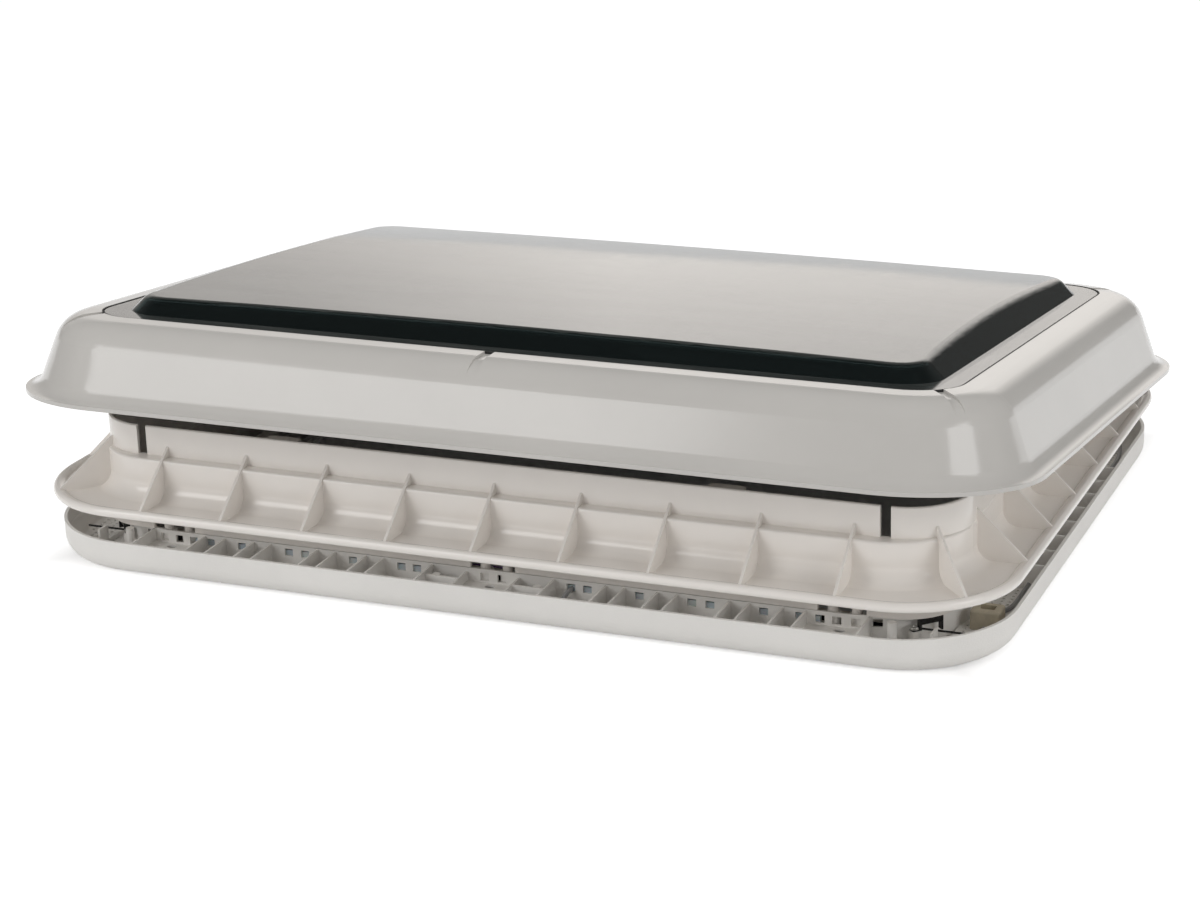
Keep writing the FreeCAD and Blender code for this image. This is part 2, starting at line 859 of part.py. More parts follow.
def vent_grille():
    shell = grille_space(grille_gap, tray_floor_top, grille_top)
    hollow = grille_space(grille_gap + grille_rim, tray_floor_top - OVERLAP,
                          grille_top - grille_thickness)
    outer = inset(tray_outline, tray_round)
    holes = []
    for i in range(1, int(grille_inset[0] / grille_hole_pitch)):
        for j in range(1, int(grille_inset[1] / grille_hole_pitch)):
            x = grille_start_x + grille_hole_pitch * i
            y = grille_start_y + grille_hole_pitch * j
            room = min(depth_in(x, y, outer), -depth_in(x, y, tray_wall_outline))
            if room > grille_hole_margin:
                holes.append(upright(grille_hole_radius, x, -y, grille_top - 2 * grille_thickness,
                                     grille_top + OVERLAP))
    return shell.cut(group([hollow] + holes))


# Small parts in the tray

def post_places():
    return [(sx * screw_post_x, sy * screw_post_y) for sx in SIDES for sy in SIDES]


def spring_clip():
    """The clip of the front right corner: a foot under the screw, a bridge along the tray's
    inner wall, a leg at its end and a wire out of the riser."""
    half = clip_width / 2
    rise = clip_rise + clip_thickness
    strip = joined([box(-half, rise, -half, half, screw_post_top, clip_foot_top),
                    box(clip_rise, rise, -half, half, screw_post_top, clip_top),
                    box(clip_rise, clip_reach, -half, half, clip_top - clip_depth, clip_top),
                    box(clip_reach - clip_thickness, clip_reach, -half, half, clip_leg_foot,
                        clip_top)])
    strip.rotate(CENTRE, UP, QUARTER / 2)
    side = (clip_rise + clip_thickness / 2) * math.sqrt(0.5)
    level = clip_foot_top - clip_rod_radius / 2
    tip = vec(clip_rod_length, side, level)
    wire = rod(clip_rod_radius, vec(side, side, level), tip)
    hole = upright(post_screw_radius + screw_gap, 0, 0, screw_post_top - OVERLAP,
                   clip_foot_top + OVERLAP)
    clip = joined([strip, wire, Part.makeSphere(clip_rod_radius, tip)]).cut(hole)
    clip.translate(vec(screw_post_x, -screw_post_y, 0))
    return clip


def post_screws():
    return group([pan_screw(vec(x, y, clip_foot_top), -UP, post_screw_radius, post_screw_depth,
                            post_screw_head, post_screw_head_height) for x, y in post_places()])


def clamp_screws():
    seat = tray_bottom + clamp_recess
    return group([pan_screw(vec(x, y, seat), UP, clamp_screw_radius, clamp_screw_top - seat,
                            clamp_head_radius, clamp_head_height) for x, y in boss_places()])


def led_strips(way):
    return group([box(side * led_start_x, side * led_end_x, way * tray_wall_in_y,
                      way * (tray_wall_in_y - led_depth), led_top - led_height, led_top)
                  for side in SIDES])


def light_wire(number):
    """One conductor of each pair that joins a left strip to a right one round the columns."""
    x = wire_x[number]
    shapes = []
    for way, start, rise in ((-1, led_top, wire_rise), (1, led_top - led_height, -wire_rise)):
        root = way * (tray_wall_in_y - led_depth / 2)
        back = way * (boss_y - column_radius - wire_gap[number])
        points = [vec(-x, root, start), vec(-x, root, start + rise), vec(-x, back, start + rise),
                  vec(x, back, start + rise), vec(x, root, start + rise), vec(x, root, start)]
        shapes.append(tube(points, wire_radius))
    return group(shapes)


def supply_connector():
    low = vec(connector_x - connector_length / 2, -connector_y - connector_width / 2, grille_top)
    body = Part.makeBox(connector_length, connector_width, connector_top - grille_top, low)
    top = [e for e in body.Edges if e.CenterOfMass.z > grille_top + OVERLAP]
    body = body.makeFillet(connector_round, top)
    half_x = connector_socket_length / 2
    half_y = connector_socket_width / 2
    socket = box(connector_x - half_x, connector_x + half_x, -connector_y - half_y,
                 half_y - connector_y, connector_top - connector_socket_depth,
                 connector_top + OVERLAP)
    low = connector_top - connector_socket_depth
    pins = [upright(connector_pin_radius, connector_x + side * half_x / 2, -connector_y,
                    low - OVERLAP, low + connector_pin_height) for side in SIDES]
    return joined([body.cut(socket)] + pins)


def cable_corner(way):
    """The way round a corner of the tray, from the side channel to the long one."""
    turns = ((360.0, 238.0), (336.0, 262.0), (300.0, cable_channel_y))
    return [vec(x, way * y, cable_level) for x, y in turns]


def cable_entry(way):
    """The way from the long channel up through a window to the back of a light strip."""
    return [vec(cable_window_x - 5.0, way * cable_channel_y, cable_level),
            vec(cable_window_x - 1.0, way * 262.0, cable_window_level - 4.0),
            vec(cable_window_x, way * 256.0, cable_window_level),
            vec(cable_window_x, way * tray_wall_in_y, cable_window_level)]


def light_cable_front():
    points = [vec(connector_x, -connector_y - connector_width / 2, cable_level)]
    points.append(vec(connector_x, -connector_y - connector_width, cable_level))
    return tube(points + cable_corner(-1) + cable_entry(-1), cable_radius)


def light_cable_rear():
    points = [vec(connector_x, connector_width / 2 - connector_y, cable_level)]
    points.append(vec(connector_x, connector_width - connector_y, cable_level))
    points.append(vec(cable_channel_x, 2 * connector_width - connector_y, cable_level))
    points.append(vec(cable_channel_x, connector_y, cable_level))
    return tube(points + cable_corner(1) + cable_entry(1), cable_radius)


# Light switch

def switch_case():
    half = switch_case_length / 2
    back = switch_y + switch_case_width / 2
    top = tray_floor_top + switch_case_height
    body = box(-half, half, -back, switch_case_width - back, tray_floor_top, top)
    body = body.makeFillet(bar_round, [e for e in body.Edges if e.CenterOfMass.z > top - OVERLAP])
    room = switch_flange_height + switch_travel + switch_flange_gap
    return body.cut(upright(switch_flange_radius + switch_flange_gap, 0, -switch_y,
                            tray_floor_top - OVERLAP, tray_floor_top + room))


def switch_button():
    button = upright(switch_radius, 0, -switch_y, tray_bottom + switch_recess, tray_floor_top)
    foot = [e for e in button.Edges if e.CenterOfMass.z < tray_bottom + OVERLAP]
    button = button.makeFillet(switch_recess * 2, foot)
    flange = upright(switch_flange_radius, 0, -switch_y, tray_floor_top,
                     tray_floor_top + switch_flange_height)
    return joined([button, flange])


# Blind and insect screen

def blind_rail():
    """The guide rail on the right: two grooves one above the other, open towards the middle."""
    outer = rail_inner_x + rail_width
    half = tray_wall_in_y - rail_end_gap
    body = box(rail_inner_x, outer, -half, half, tray_floor_top, tray_top)
    grooves = []
    for level in (shade_level, screen_level):
        reach = bar_height / 2 + groove_gap
        grooves.append(box(rail_inner_x - OVERLAP, rail_inner_x + groove_depth, -BEYOND, BEYOND,
                           level - reach, level + reach))
    return body.cut(group(grooves))


def pull_bar(level, way):
    """A pull bar with its grip, parked at the rear for +1 and at the front for -1."""
    half = rail_inner_x + groove_depth - bar_end_gap
    near = bar_y - bar_depth / 2
    body = box(-half, half, near, near + bar_depth, level - bar_height / 2,
               level + bar_height / 2)
    long_edges = [e for e in body.Edges if e.Length > half]
    body = body.makeFillet(bar_round, long_edges)
    grip = box(-grip_length / 2, grip_length / 2, near - grip_reach, near + OVERLAP * 2,
               level - grip_thickness / 2, level + grip_thickness / 2)
    corners = [e for e in grip.Edges if abs(e.tangentAt(e.FirstParameter).z) > 0.5
               and e.CenterOfMass.y < near - OVERLAP]
    bar = joined([body, grip.makeFillet(grip_round, corners)])
    return bar if way > 0 else mirrored(bar, vec(0, 1, 0))


def pleats(level, way):
    half = rail_inner_x - pleat_end_gap
    near = way * (bar_y + bar_depth / 2 + pleat_gap)
    return box(-half, half, near, near + way * pleat_depth, level - pleat_height / 2,
               level + pleat_height / 2)


def pleat_anchor(level, way):
    half = rail_inner_x - pleat_end_gap
    far = way * (boss_y - column_radius)
    near = way * (bar_y + bar_depth / 2 + pleat_gap + pleat_depth)
    return box(-half, half, near, far, level - pleat_height / 2, level + pleat_height / 2)


# Lid

def shoulder_point(radius, angle):
    return (shoulder_inset + radius * math.cos(math.radians(angle)),
            shoulder_z + radius * math.sin(math.radians(angle)))


def lid_steps():
    outer = shoulder_radius
    inner = shoulder_radius - skirt_wall
    flare = flare_radius + skirt_wall
    flare_z = lip_level + flare
    lean = 2 * QUARTER - lean_angle
    flat = QUARTER + top_slope
    web = band_inset - web_thickness
    under_x, under_z = shoulder_point(inner, flat)
    under_z += (web - under_x) * math.tan(math.radians(top_slope))
    return [
        arc(0.0, flare_z, flare_radius, -QUARTER, -lean_angle),
        shoulder_point(outer, lean),
        arc(shoulder_inset, shoulder_z, outer, lean, flat),
        (band_inset, band_top),
        (band_inset, ring_top + skirt_wall),
        (rebate_inset, ring_top + skirt_wall),
        (rebate_inset, ring_top),
        (web, ring_top),
        (web, under_z),
        shoulder_point(inner, flat),
        arc(shoulder_inset, shoulder_z, inner, flat, lean),
        (flare * math.cos(math.radians(lean_angle)),
         flare_z - flare * math.sin(math.radians(lean_angle))),
        arc(0.0, flare_z, flare, -lean_angle, -QUARTER),
    ]


def drain():
    """A groove across the band in the plane X = 0, which fades out down the shoulder."""
    flat = QUARTER + top_slope
    first_x, first_z = shoulder_point(shoulder_radius - drain_depth, flat)
    middle = shoulder_point(shoulder_radius - drain_depth / 2, (flat + drain_end_angle) / 2)
    last = shoulder_point(shoulder_radius, drain_end_angle)
    inner = band_inset + OVERLAP
    start = (inner, first_z + (inner - first_x) * math.tan(math.radians(top_slope)))
    steps = [(first_x, first_z), (middle, last),
             shoulder_point(2 * shoulder_radius, drain_end_angle),
             (inner, band_top + shoulder_radius)]
    face = section(start, steps, lambda o, z: vec(-drain_width / 2, o, z))
    return face.extrude(vec(drain_width, 0, 0))


def drains():
    """One drain groove in the middle of each long side and one at every corner."""
    middle = drain()
    middle.translate(vec(0, -lid_half_y, 0))
    corner = drain()
    corner.translate(vec(0, -lid_corner, 0))
    corner.rotate(CENTRE, UP, QUARTER / 2)
    corner.translate(vec(lid_half_x - lid_corner, lid_corner - lid_half_y, 0))
    return [middle, mirrored(middle, vec(0, 1, 0))] + four_corners(corner)


def ring_screw_places():
    front = lid_half_y - ring_screw_inset[1]
    side = lid_half_x - ring_screw_inset[0]
    places = [(x, way * front) for x in ring_screw_x for way in SIDES]
    return places + [(way * side, y) for y in ring_screw_y for way in SIDES]


def lid_frame():
    body = swept_ring(lid_outline, (0.0, lip_level + skirt_wall), lid_steps())
    holes = [upright(ring_screw_radius + screw_gap, x, y, ring_bottom,
                     ring_bottom + ring_screw_length + screw_gap)
             for x, y in ring_screw_places()]
    return body.cut(group(drains() + holes)).removeSplitter()


def pane_gasket():
    bed = ring_top + skirt_wall
    outer = inset(lid_outline, band_inset)
    bottom = ring(outer, inset(lid_outline, rebate_inset), bed, bed + gasket_bed)
    lip = ring(outer, inset(outer, gasket_lip), bed, band_top - gasket_relief)
    return joined([bottom, lip])


def crown(height, outline, base, round_over):
    """A shallow dome: a surface curved both ways, over walls that lean in at 45 degrees."""
    half_x = outline[0] / 2
    half_y = outline[1] / 2
    radius_x = (half_x ** 2 + crown_sag_x ** 2) / (2 * crown_sag_x)
    radius_y = (half_y ** 2 + crown_sag_y ** 2) / (2 * crown_sag_y)
    reach = half_y + OVERLAP
    edge_z = height - radius_y + math.sqrt(radius_y ** 2 - reach ** 2)
    low = base - (height - base)
    outline_arc = Part.Arc(vec(0, -reach, edge_z), vec(0, 0, height), vec(0, reach, edge_z))
    wire = Part.Wire([outline_arc.toShape(), Part.makeLine(vec(0, reach, edge_z),
                                                          vec(0, reach, low)),
                      Part.makeLine(vec(0, reach, low), vec(0, -reach, low)),
                      Part.makeLine(vec(0, -reach, low), vec(0, -reach, edge_z))])
    swing = math.degrees(math.asin((half_x + OVERLAP) / radius_x))
    hub = vec(0, 0, height - radius_x)
    face = Part.Face(wire)
    face.rotate(hub, vec(0, 1, 0), -swing)
    bulk = face.revolve(hub, vec(0, 1, 0), 2 * swing)
    walls = leaning_block(outline, base, height - base + OVERLAP)
    dome = walls.common(bulk)
    top = max(dome.Faces, key=lambda f: f.Area if f.CenterOfMass.z > base + OVERLAP else 0)
    return dome.makeFillet(round_over, top.Edges)


def rounded_wire(outline, z):
    block = plate(outline, z, z + OVERLAP)
    bottom = min(block.Faces, key=lambda f: f.CenterOfMass.z)
    return bottom.OuterWire


def leaning_block(outline, base, rise):
    """A rounded block whose sides lean in by 45 degrees."""
    return Part.makeLoft([rounded_wire(outline, base),
                          rounded_wire(inset(outline, rise), base + rise)], True, True)


def outer_pane():
    edge = inset(lid_outline, band_inset + gasket_lip + pane_gap)
    rim = plate(edge, bed_top, pane_top)
    lip = [e for e in rim.Edges if e.CenterOfMass.z > pane_top - OVERLAP / 2]
    rim = rim.makeFillet(pane_edge_round, lip)
    length, width, corner = inset(edge, pane_rim)
    outline = (length, width, crown_corner_radius)
    dome = crown(crown_top, outline, pane_top, crown_fillet)
    wall = pane_thickness * math.tan(math.radians(QUARTER / 4))
    hollow = crown(crown_top - pane_thickness, inset(outline, wall), bed_top,
                   crown_inner_fillet)
    return joined([rim, dome]).cut(hollow)


def lid_ring():
    body = ring(inset(lid_outline, ring_inset), ring_opening, ring_bottom, ring_top)
    rebate = plate(inset(ring_opening, -ring_rebate), ring_top - inner_pane_thickness,
                   ring_top + OVERLAP)
    cuts = [rebate]
    for x, y in ring_screw_places() + stay_screw_places():
        cuts.append(upright(ring_screw_radius + screw_gap, x, y, ring_bottom - OVERLAP,
                            ring_bottom + ring_screw_length + screw_gap))
    for x, y in leaf_screw_places():
        cuts.append(upright(hinge_screw_radius + screw_gap, x, y,
                            ring_top + leaf_foot_thickness - leaf_screw_length - screw_gap,
                            ring_top + OVERLAP))
    for side in SIDES:
        cuts.append(upright(latch_stud_radius + latch_stud_fit, side * latch_x, -latch_y,
                            ring_bottom - OVERLAP, ring_bottom + latch_stud_root))
    return body.cut(group(cuts))


def inner_pane():
    return plate(inset(ring_opening, inner_pane_gap - ring_rebate),
                 ring_top - inner_pane_thickness, ring_top)


def lid_seal():
    """A bulb seal: flat against the ring and round towards the upstand."""
    radius = seal_width / 2
    foot = upstand_height + seal_gap
    middle = foot + radius
    near = -seal_overhang
    steps = [(near, middle), ((near + radius, foot), (near + seal_width, middle)),
             (near + seal_width, ring_bottom)]
    return swept_ring(upstand_outline, (near, ring_bottom), steps)


def ring_screws():
    places = [vec(x, y, ring_bottom) for x, y in ring_screw_places()]
    places += [vec(x, y, ring_bottom - stay_bracket_plate) for x, y in stay_screw_places()]
    return group([pan_screw(at, UP, ring_screw_radius, ring_bottom + ring_screw_length - at.z
                            - (0 if at.z == ring_bottom else 2 * stay_bracket_plate),
                            ring_screw_head, ring_screw_head_height) for at in places])


# Hinges

def barrel(x0, x1):
    return rod(knuckle_radius, vec(x0, hinge_y, hinge_z), vec(x1, hinge_y, hinge_z))


def hinge_bore(gap):
    return rod(hinge_pin_radius + gap, vec(-BEYOND, hinge_y, hinge_z),
               vec(BEYOND, hinge_y, hinge_z))


def hinge_bracket():
    near = hinge_x + lid_knuckle_half + knuckle_gap
    far = near + knuckle_length
    half = far - hinge_x + 2 * bracket_plate
    shapes = [box(hinge_x - half, hinge_x + half, wall_out_y, wall_out_y + bracket_plate,
                  bracket_bottom, bracket_top)]
    for x0, x1 in ((near, far), (2 * hinge_x - far, 2 * hinge_x - near)):
        shapes.append(barrel(x0, x1))
        shapes.append(box(x0, x1, wall_out_y, hinge_y, hinge_z - hinge_arm / 2,
                          hinge_z + hinge_arm / 2))
    holes = [rod(hinge_screw_radius + screw_gap,
                 vec(hinge_x + way * hinge_screw_x, wall_out_y - OVERLAP, hinge_screw_z),
                 vec(hinge_x + way * hinge_screw_x, wall_out_y + 2 * bracket_plate,
                     hinge_screw_z)) for way in SIDES]
    return joined(shapes).cut(group(holes + [hinge_bore(hinge_pin_fit)]))


def hinge_pins():
    half = lid_knuckle_half + knuckle_gap + knuckle_length
    shapes = []
    for side in SIDES:
        middle = side * hinge_x
        pin = rod(hinge_pin_radius, vec(middle - half, hinge_y, hinge_z),
                  vec(middle + half, hinge_y, hinge_z))
        heads = [rod(hinge_pin_head, vec(middle + way * half, hinge_y, hinge_z),
                     vec(middle + way * (half + hinge_pin_head_length), hinge_y, hinge_z))
                 for way in SIDES]
        shapes.append(joined([pin] + heads))
    return group(shapes)


def hinge_bracket_screws():
    at = wall_out_y + bracket_plate
    return group([pan_screw(vec(x, at, hinge_screw_z), vec(0, -1, 0), hinge_screw_radius,
                            hinge_screw_length, hinge_screw_head, hinge_screw_head_height)
                  for x in hinge_screw_places()])


def hinge_leaf():
    back = leaf_back
    top = ring_top + leaf_foot_thickness
    arm = box(hinge_x - lid_knuckle_half, hinge_x + lid_knuckle_half, back, hinge_y,
              hinge_z - hinge_pin_radius, hinge_z + hinge_pin_radius)
    neck = box(hinge_x - lid_knuckle_half, hinge_x + lid_knuckle_half, back, back + leaf_plate,
               hinge_z - hinge_pin_radius, top)
    wide = box(hinge_x - leaf_half_width, hinge_x + leaf_half_width, back, back + leaf_plate,
               leaf_shoulder, top)
    foot = box(hinge_x - leaf_half_width, hinge_x + leaf_half_width, back - leaf_foot_depth,
               back + leaf_plate, ring_top, top)
    knuckle = barrel(hinge_x - lid_knuckle_half, hinge_x + lid_knuckle_half)
    holes = [upright(hinge_screw_radius + screw_gap, x, y, ring_top - OVERLAP, top + OVERLAP)
             for x, y in leaf_screw_places()]
    return joined([arm, neck, wide, foot, knuckle]).cut(group(holes + [hinge_bore(hinge_pin_gap)]))


def leaf_screw_places():
    return [(side * hinge_x + way * leaf_screw_x, leaf_screw_y) for side in SIDES for way in SIDES]


def leaf_screws():
    return group([pan_screw(vec(x, y, ring_top + leaf_foot_thickness), -UP, hinge_screw_radius,
                            leaf_screw_length, hinge_screw_head, hinge_screw_head_height)
                  for x, y in leaf_screw_places()])


# Stays

def stay_foot(angle):
    """How far forward the stay's foot stands for a lid opened by an angle from shut."""
    swing = math.radians(stay_pin_angle + angle)
    return hinge_y - 2 * stay_length * math.cos(swing)


def stay_pin_at_rest():
    swing = math.radians(stay_pin_angle + rest_angle)
    return hinge_y - stay_length * math.cos(swing), hinge_z + stay_length * math.sin(swing)


def stay_screw_places():
    return [(side * stay_bracket_screw_x, stay_pin_y + way * stay_bracket_screw_y)
            for side in SIDES for way in SIDES]


def stay_bracket():
    """The bracket on the right under the lid ring, with the pin that carries the arm."""
    cheek = stay_x - stay_side_gap
    low = stay_pin_level - stay_eye_radius
    half = stay_bracket_half
    y = stay_pin_y
    foot = box(stay_x - stay_bracket_reach, cheek, y - half, y + half,
               ring_bottom - stay_bracket_plate, ring_bottom)
    side = box(cheek - stay_cheek, cheek, y - half, y + half, stay_pin_level, ring_bottom)
    nose = rod(half, vec(cheek - stay_cheek, y, stay_pin_level), vec(cheek, y, stay_pin_level))
    nose = nose.common(box(0, BEYOND, y - half, y + half, low, ring_bottom))
    end = stay_x + stay_thickness + stay_side_gap
    pin = rod(stay_pin_radius, vec(cheek - OVERLAP, y, stay_pin_level), vec(end, y, stay_pin_level))
    head = rod(stay_pin_head, vec(end, y, stay_pin_level),
               vec(end + stay_pin_head_length, y, stay_pin_level))
    holes = [upright(ring_screw_radius + screw_gap, x, sy, ring_bottom - 2 * stay_bracket_plate,
                     ring_bottom + OVERLAP) for x, sy in stay_screw_places()]
    return joined([foot, side, nose, pin, head]).cut(group(holes))


def stay_arm():
    """The right arm where it stands: one eye on the bracket's pin, the other on the shoe's."""
    x = stay_x
    end = stay_x + stay_thickness
    bar = box(x, end, -stay_length, 0, -stay_half_width, stay_half_width)
    eyes = [rod(stay_eye_radius, vec(x, y, 0), vec(end, y, 0)) for y in (0, -stay_length)]
    holes = [rod(stay_pin_radius + stay_pin_gap, vec(x - OVERLAP, y, 0), vec(end + OVERLAP, y, 0))
             for y in (0, -stay_length)]
    arm = joined([bar] + eyes).cut(group(holes))
    arm.rotate(CENTRE, vec(1, 0, 0), stay_pin_angle + rest_angle)
    arm.translate(vec(0, *stay_pin_at_rest()))
    return arm


def stay_rail():
    """The rail on the right side of the upstand, slotted towards the arm."""
    near = wall_in_x - stay_rail_depth
    reach = stay_shoe_length / 2 + stay_slot_margin
    first = stay_foot(0.0) - reach
    last = stay_foot(full_angle) + reach
    body = box(near, wall_in_x, first - stay_rail_end, last + stay_rail_end,
               hinge_z - stay_rail_height / 2, hinge_z + stay_rail_height / 2)
    slot = box(near - OVERLAP, near + stay_slot_depth, first, last,
               hinge_z - stay_slot_height / 2, hinge_z + stay_slot_height / 2)
    return body.cut(slot)


def stay_shoe():
    near = wall_in_x - stay_rail_depth + stay_shoe_gap
    far = wall_in_x - stay_rail_depth + stay_slot_depth - stay_shoe_gap
    y = stay_foot(rest_angle)
    half = stay_shoe_length / 2
    tall = stay_slot_height / 2 - stay_shoe_gap
    body = box(near, far, y - half, y + half, hinge_z - tall, hinge_z + tall)
    ends = [e for e in body.Edges if abs(e.tangentAt(e.FirstParameter).x) > 0.5]
    body = body.makeFillet(stay_shoe_round, ends)
    start = stay_x - stay_side_gap
    pin = rod(stay_pin_radius, vec(start, y, hinge_z), vec(near + OVERLAP, y, hinge_z))
    head = rod(stay_pin_head, vec(start - stay_pin_head_length, y, hinge_z),
               vec(start, y, hinge_z))
    return joined([body, pin, head])


# Latches

def latch_stud():
    foot = lever_bottom - latch_stud_head_gap
    pin = upright(latch_stud_radius, latch_x, -latch_y, foot, ring_bottom + latch_stud_root)
    head = upright(latch_stud_head, latch_x, -latch_y, foot - latch_stud_head_height, foot)
    rim = [e for e in head.Edges if e.CenterOfMass.z < foot - latch_stud_head_height / 2]
    return joined([pin, head.makeFillet(latch_stud_head_height / 3, rim)])


def latch_lever():
    """The right lever: its hook points to the middle of the lid and its handle outwards."""
    hook = stadium(latch_hook_half, latch_hook_reach, lever_bottom, lever_top)
    hook.rotate(CENTRE, UP, 2 * QUARTER)
    handle = stadium(latch_handle_half, latch_handle_reach, lever_bottom, lever_top)
    hub = upright(latch_hub_radius, 0, 0, lever_bottom, ring_bottom - latch_hub_gap)
    bore = upright(latch_stud_radius + latch_stud_gap, 0, 0, lever_bottom - OVERLAP,
                   ring_bottom + OVERLAP)
    lever = joined([hook, handle, hub]).cut(bore)
    lever.translate(vec(latch_x, -latch_y, 0))
    return lever


def keeper():
    body = box(latch_x - keeper_half, latch_x + keeper_half, -wall_in_y, keeper_depth - wall_in_y,
               keeper_bottom, keeper_bottom + keeper_height)
    corners = [e for e in body.Edges if abs(e.tangentAt(e.FirstParameter).z) > 0.5
               and e.CenterOfMass.y > -wall_in_y + OVERLAP]
    return body.makeFillet(keeper_round, corners)


# One file for every piece

def paired(name, shape):
    return {name + "_right": shape, name + "_left": mirrored(shape, vec(1, 0, 0))}


nodes = {
    "roof_flange": roof_flange(),
    "inner_frame": inner_frame(),
    "spring_clips": group(four_corners(spring_clip())),
    "post_screws": post_screws(),
    "clamp_screws": clamp_screws(),
    "light_strip_front": led_strips(-1),
    "light_strip_rear": led_strips(1),
    "light_wire_violet": light_wire(0),
    "light_wire_white": light_wire(1),
    "supply_connector": supply_connector(),
    "light_cable_front": light_cable_front(),
    "light_cable_rear": light_cable_rear(),
    "switch_case": switch_case(),
    "switch_button": switch_button(),
    "shade_bar": pull_bar(shade_level, 1),
    "screen_bar": pull_bar(screen_level, -1),
    "shade_pleats": pleats(shade_level, 1),
    "screen_pleats": pleats(screen_level, -1),
    "shade_anchor": pleat_anchor(shade_level, 1),
    "screen_anchor": pleat_anchor(screen_level, -1),
    "hinge_pins": hinge_pins(),
    "hinge_bracket_screws": hinge_bracket_screws(),
    "lid_frame": opened(lid_frame()),
    "pane_gasket": opened(pane_gasket()),
    "outer_pane": opened(outer_pane()),
    "lid_ring": opened(lid_ring()),
    "inner_pane": opened(inner_pane()),
    "lid_seal": opened(lid_seal()),
    "ring_screws": opened(ring_screws()),
    "leaf_screws": opened(leaf_screws()),
}
nodes |= paired("blind_rail", blind_rail())
nodes |= paired("stay_rail", stay_rail())
nodes |= paired("hinge_bracket", hinge_bracket())
nodes |= paired("keeper", keeper())
nodes |= paired("hinge_leaf", opened(hinge_leaf()))
nodes |= paired("stay_bracket", opened(stay_bracket()))
nodes |= paired("stay_arm", stay_arm())
nodes |= paired("stay_shoe", stay_shoe())
nodes |= paired("latch_stud", opened(latch_stud()))
nodes |= paired("latch_lever", opened(latch_lever()))
for number, corner in enumerate(four_corners(vent_grille())):
    end = ("front", "rear")[number // 2]
    side = ("right", "left")[number % 2]
    nodes["vent_grille_" + end + "_" + side] = corner

os.makedirs("parts", exist_ok=True)
for name, shape in nodes.items():
    shape.exportStep("parts/" + name + ".step")
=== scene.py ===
import math

import bpy
from mathutils import Euler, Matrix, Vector


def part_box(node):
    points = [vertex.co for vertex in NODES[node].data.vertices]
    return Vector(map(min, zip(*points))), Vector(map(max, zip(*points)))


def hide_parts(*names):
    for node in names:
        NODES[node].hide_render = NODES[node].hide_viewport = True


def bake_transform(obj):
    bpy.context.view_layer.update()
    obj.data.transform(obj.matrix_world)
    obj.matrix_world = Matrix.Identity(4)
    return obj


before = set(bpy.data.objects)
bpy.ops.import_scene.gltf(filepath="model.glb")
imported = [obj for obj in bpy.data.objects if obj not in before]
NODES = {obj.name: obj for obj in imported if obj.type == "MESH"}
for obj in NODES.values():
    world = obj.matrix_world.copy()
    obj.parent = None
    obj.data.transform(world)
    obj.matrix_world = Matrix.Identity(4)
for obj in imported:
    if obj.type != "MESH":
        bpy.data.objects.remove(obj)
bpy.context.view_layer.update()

bl_info = {
    "name": "Camper roof skylight",
    "version": (1, 0, 0),
    "blender": (4, 5, 0),
    "location": "3D View > Sidebar > Skylight",
    "description": "Finishes the skylight's mouldings, panes, blinds and cables around its model",
    "category": "Object",
}

CORNERS = ("_front_right", "_front_left", "_rear_right", "_rear_left")
SIDES = ("_right", "_left")

WHITE = (1.0, 1.0, 1.0, 1.0)
PLASTIC_IOR = 1.5
ACRYLIC_IOR = 1.49
CLOUD_SCALE = 9.0
MARK_SCALE = 45.0
# Pale film on the outer pane's level top: partly settled dirt, partly a painted sheen that
# lightens the top
DUST_AND_SHEEN_COLOUR = (0.62, 0.60, 0.56, 1.0)
PANE_CLEARNESS = 0.85
CLOTH_COLUMNS = 24
WAVER_ALONG_CREASE = 31.0
WAVER_PER_FOLD = 0.7
SENSOR_WIDTH = 36.0
FLOOR_SIZE = 40.0
FLOOR_GREY = 0.80
FLOOR_GLOW = 0.62
FLOOR_SHADE_WIDTH = 0.1

# The camera's heading on the level, as its sine and cosine, and the brightness of what
# stands around the skylight, as (direction, strength) stops

HEADING = (0.39, 0.92)
BACKDROP_AHEAD = ((0.0, 0.0), (0.3, 1.0))
BACKDROP_ASIDE = ((0.2, 0.0), (0.36, 0.42), (0.45, 0.62), (0.51, 1.0),
                  (0.6, 0.88), (0.66, 0.85), (0.74, 0.0))
BACKDROP_UP = ((0.0, 0.8), (0.16, 1.0), (0.26, 1.0), (0.42, 0.0))
ROOM_AHEAD = ((0.0, 1.0), (0.2, 0.25))
ROOM_UP = ((0.0, 0.5), (0.5, 0.42), (0.8, 0.1), (0.95, 0.03))
BACKDROP_TINT = (1.0, 0.955, 0.91, 1.0)

# Lamps as their place, width and height, all turned to the origin

LAMPS = {
    "top_lamp": ((0.1, 0.2, 2.6), 2.6, 2.0),
    "left_lamp": ((-1.6, -2.4, 1.3), 1.6, 1.4),
    "right_lamp": ((2.6, -0.8, 1.0), 1.2, 1.2),
}


# Shared helpers for shaders

def blank_material(name):
    material = bpy.data.materials.new(name)
    material.use_nodes = True
    tree = material.node_tree
    tree.nodes.clear()
    shader = tree.nodes.new("ShaderNodeBsdfPrincipled")
    output = tree.nodes.new("ShaderNodeOutputMaterial")
    tree.links.new(shader.outputs["BSDF"], output.inputs["Surface"])
    return material, tree, shader


def object_place(tree, scale=(1.0, 1.0, 1.0), turn=(0.0, 0.0, 0.0)):
    """Object coordinates, stretched and turned for a pattern."""
    coordinates = tree.nodes.new("ShaderNodeTexCoord")
    mapping = tree.nodes.new("ShaderNodeMapping")
    mapping.inputs["Scale"].default_value = scale
    mapping.inputs["Rotation"].default_value = turn
    tree.links.new(coordinates.outputs["Object"], mapping.inputs["Vector"])
    return mapping.outputs["Vector"]


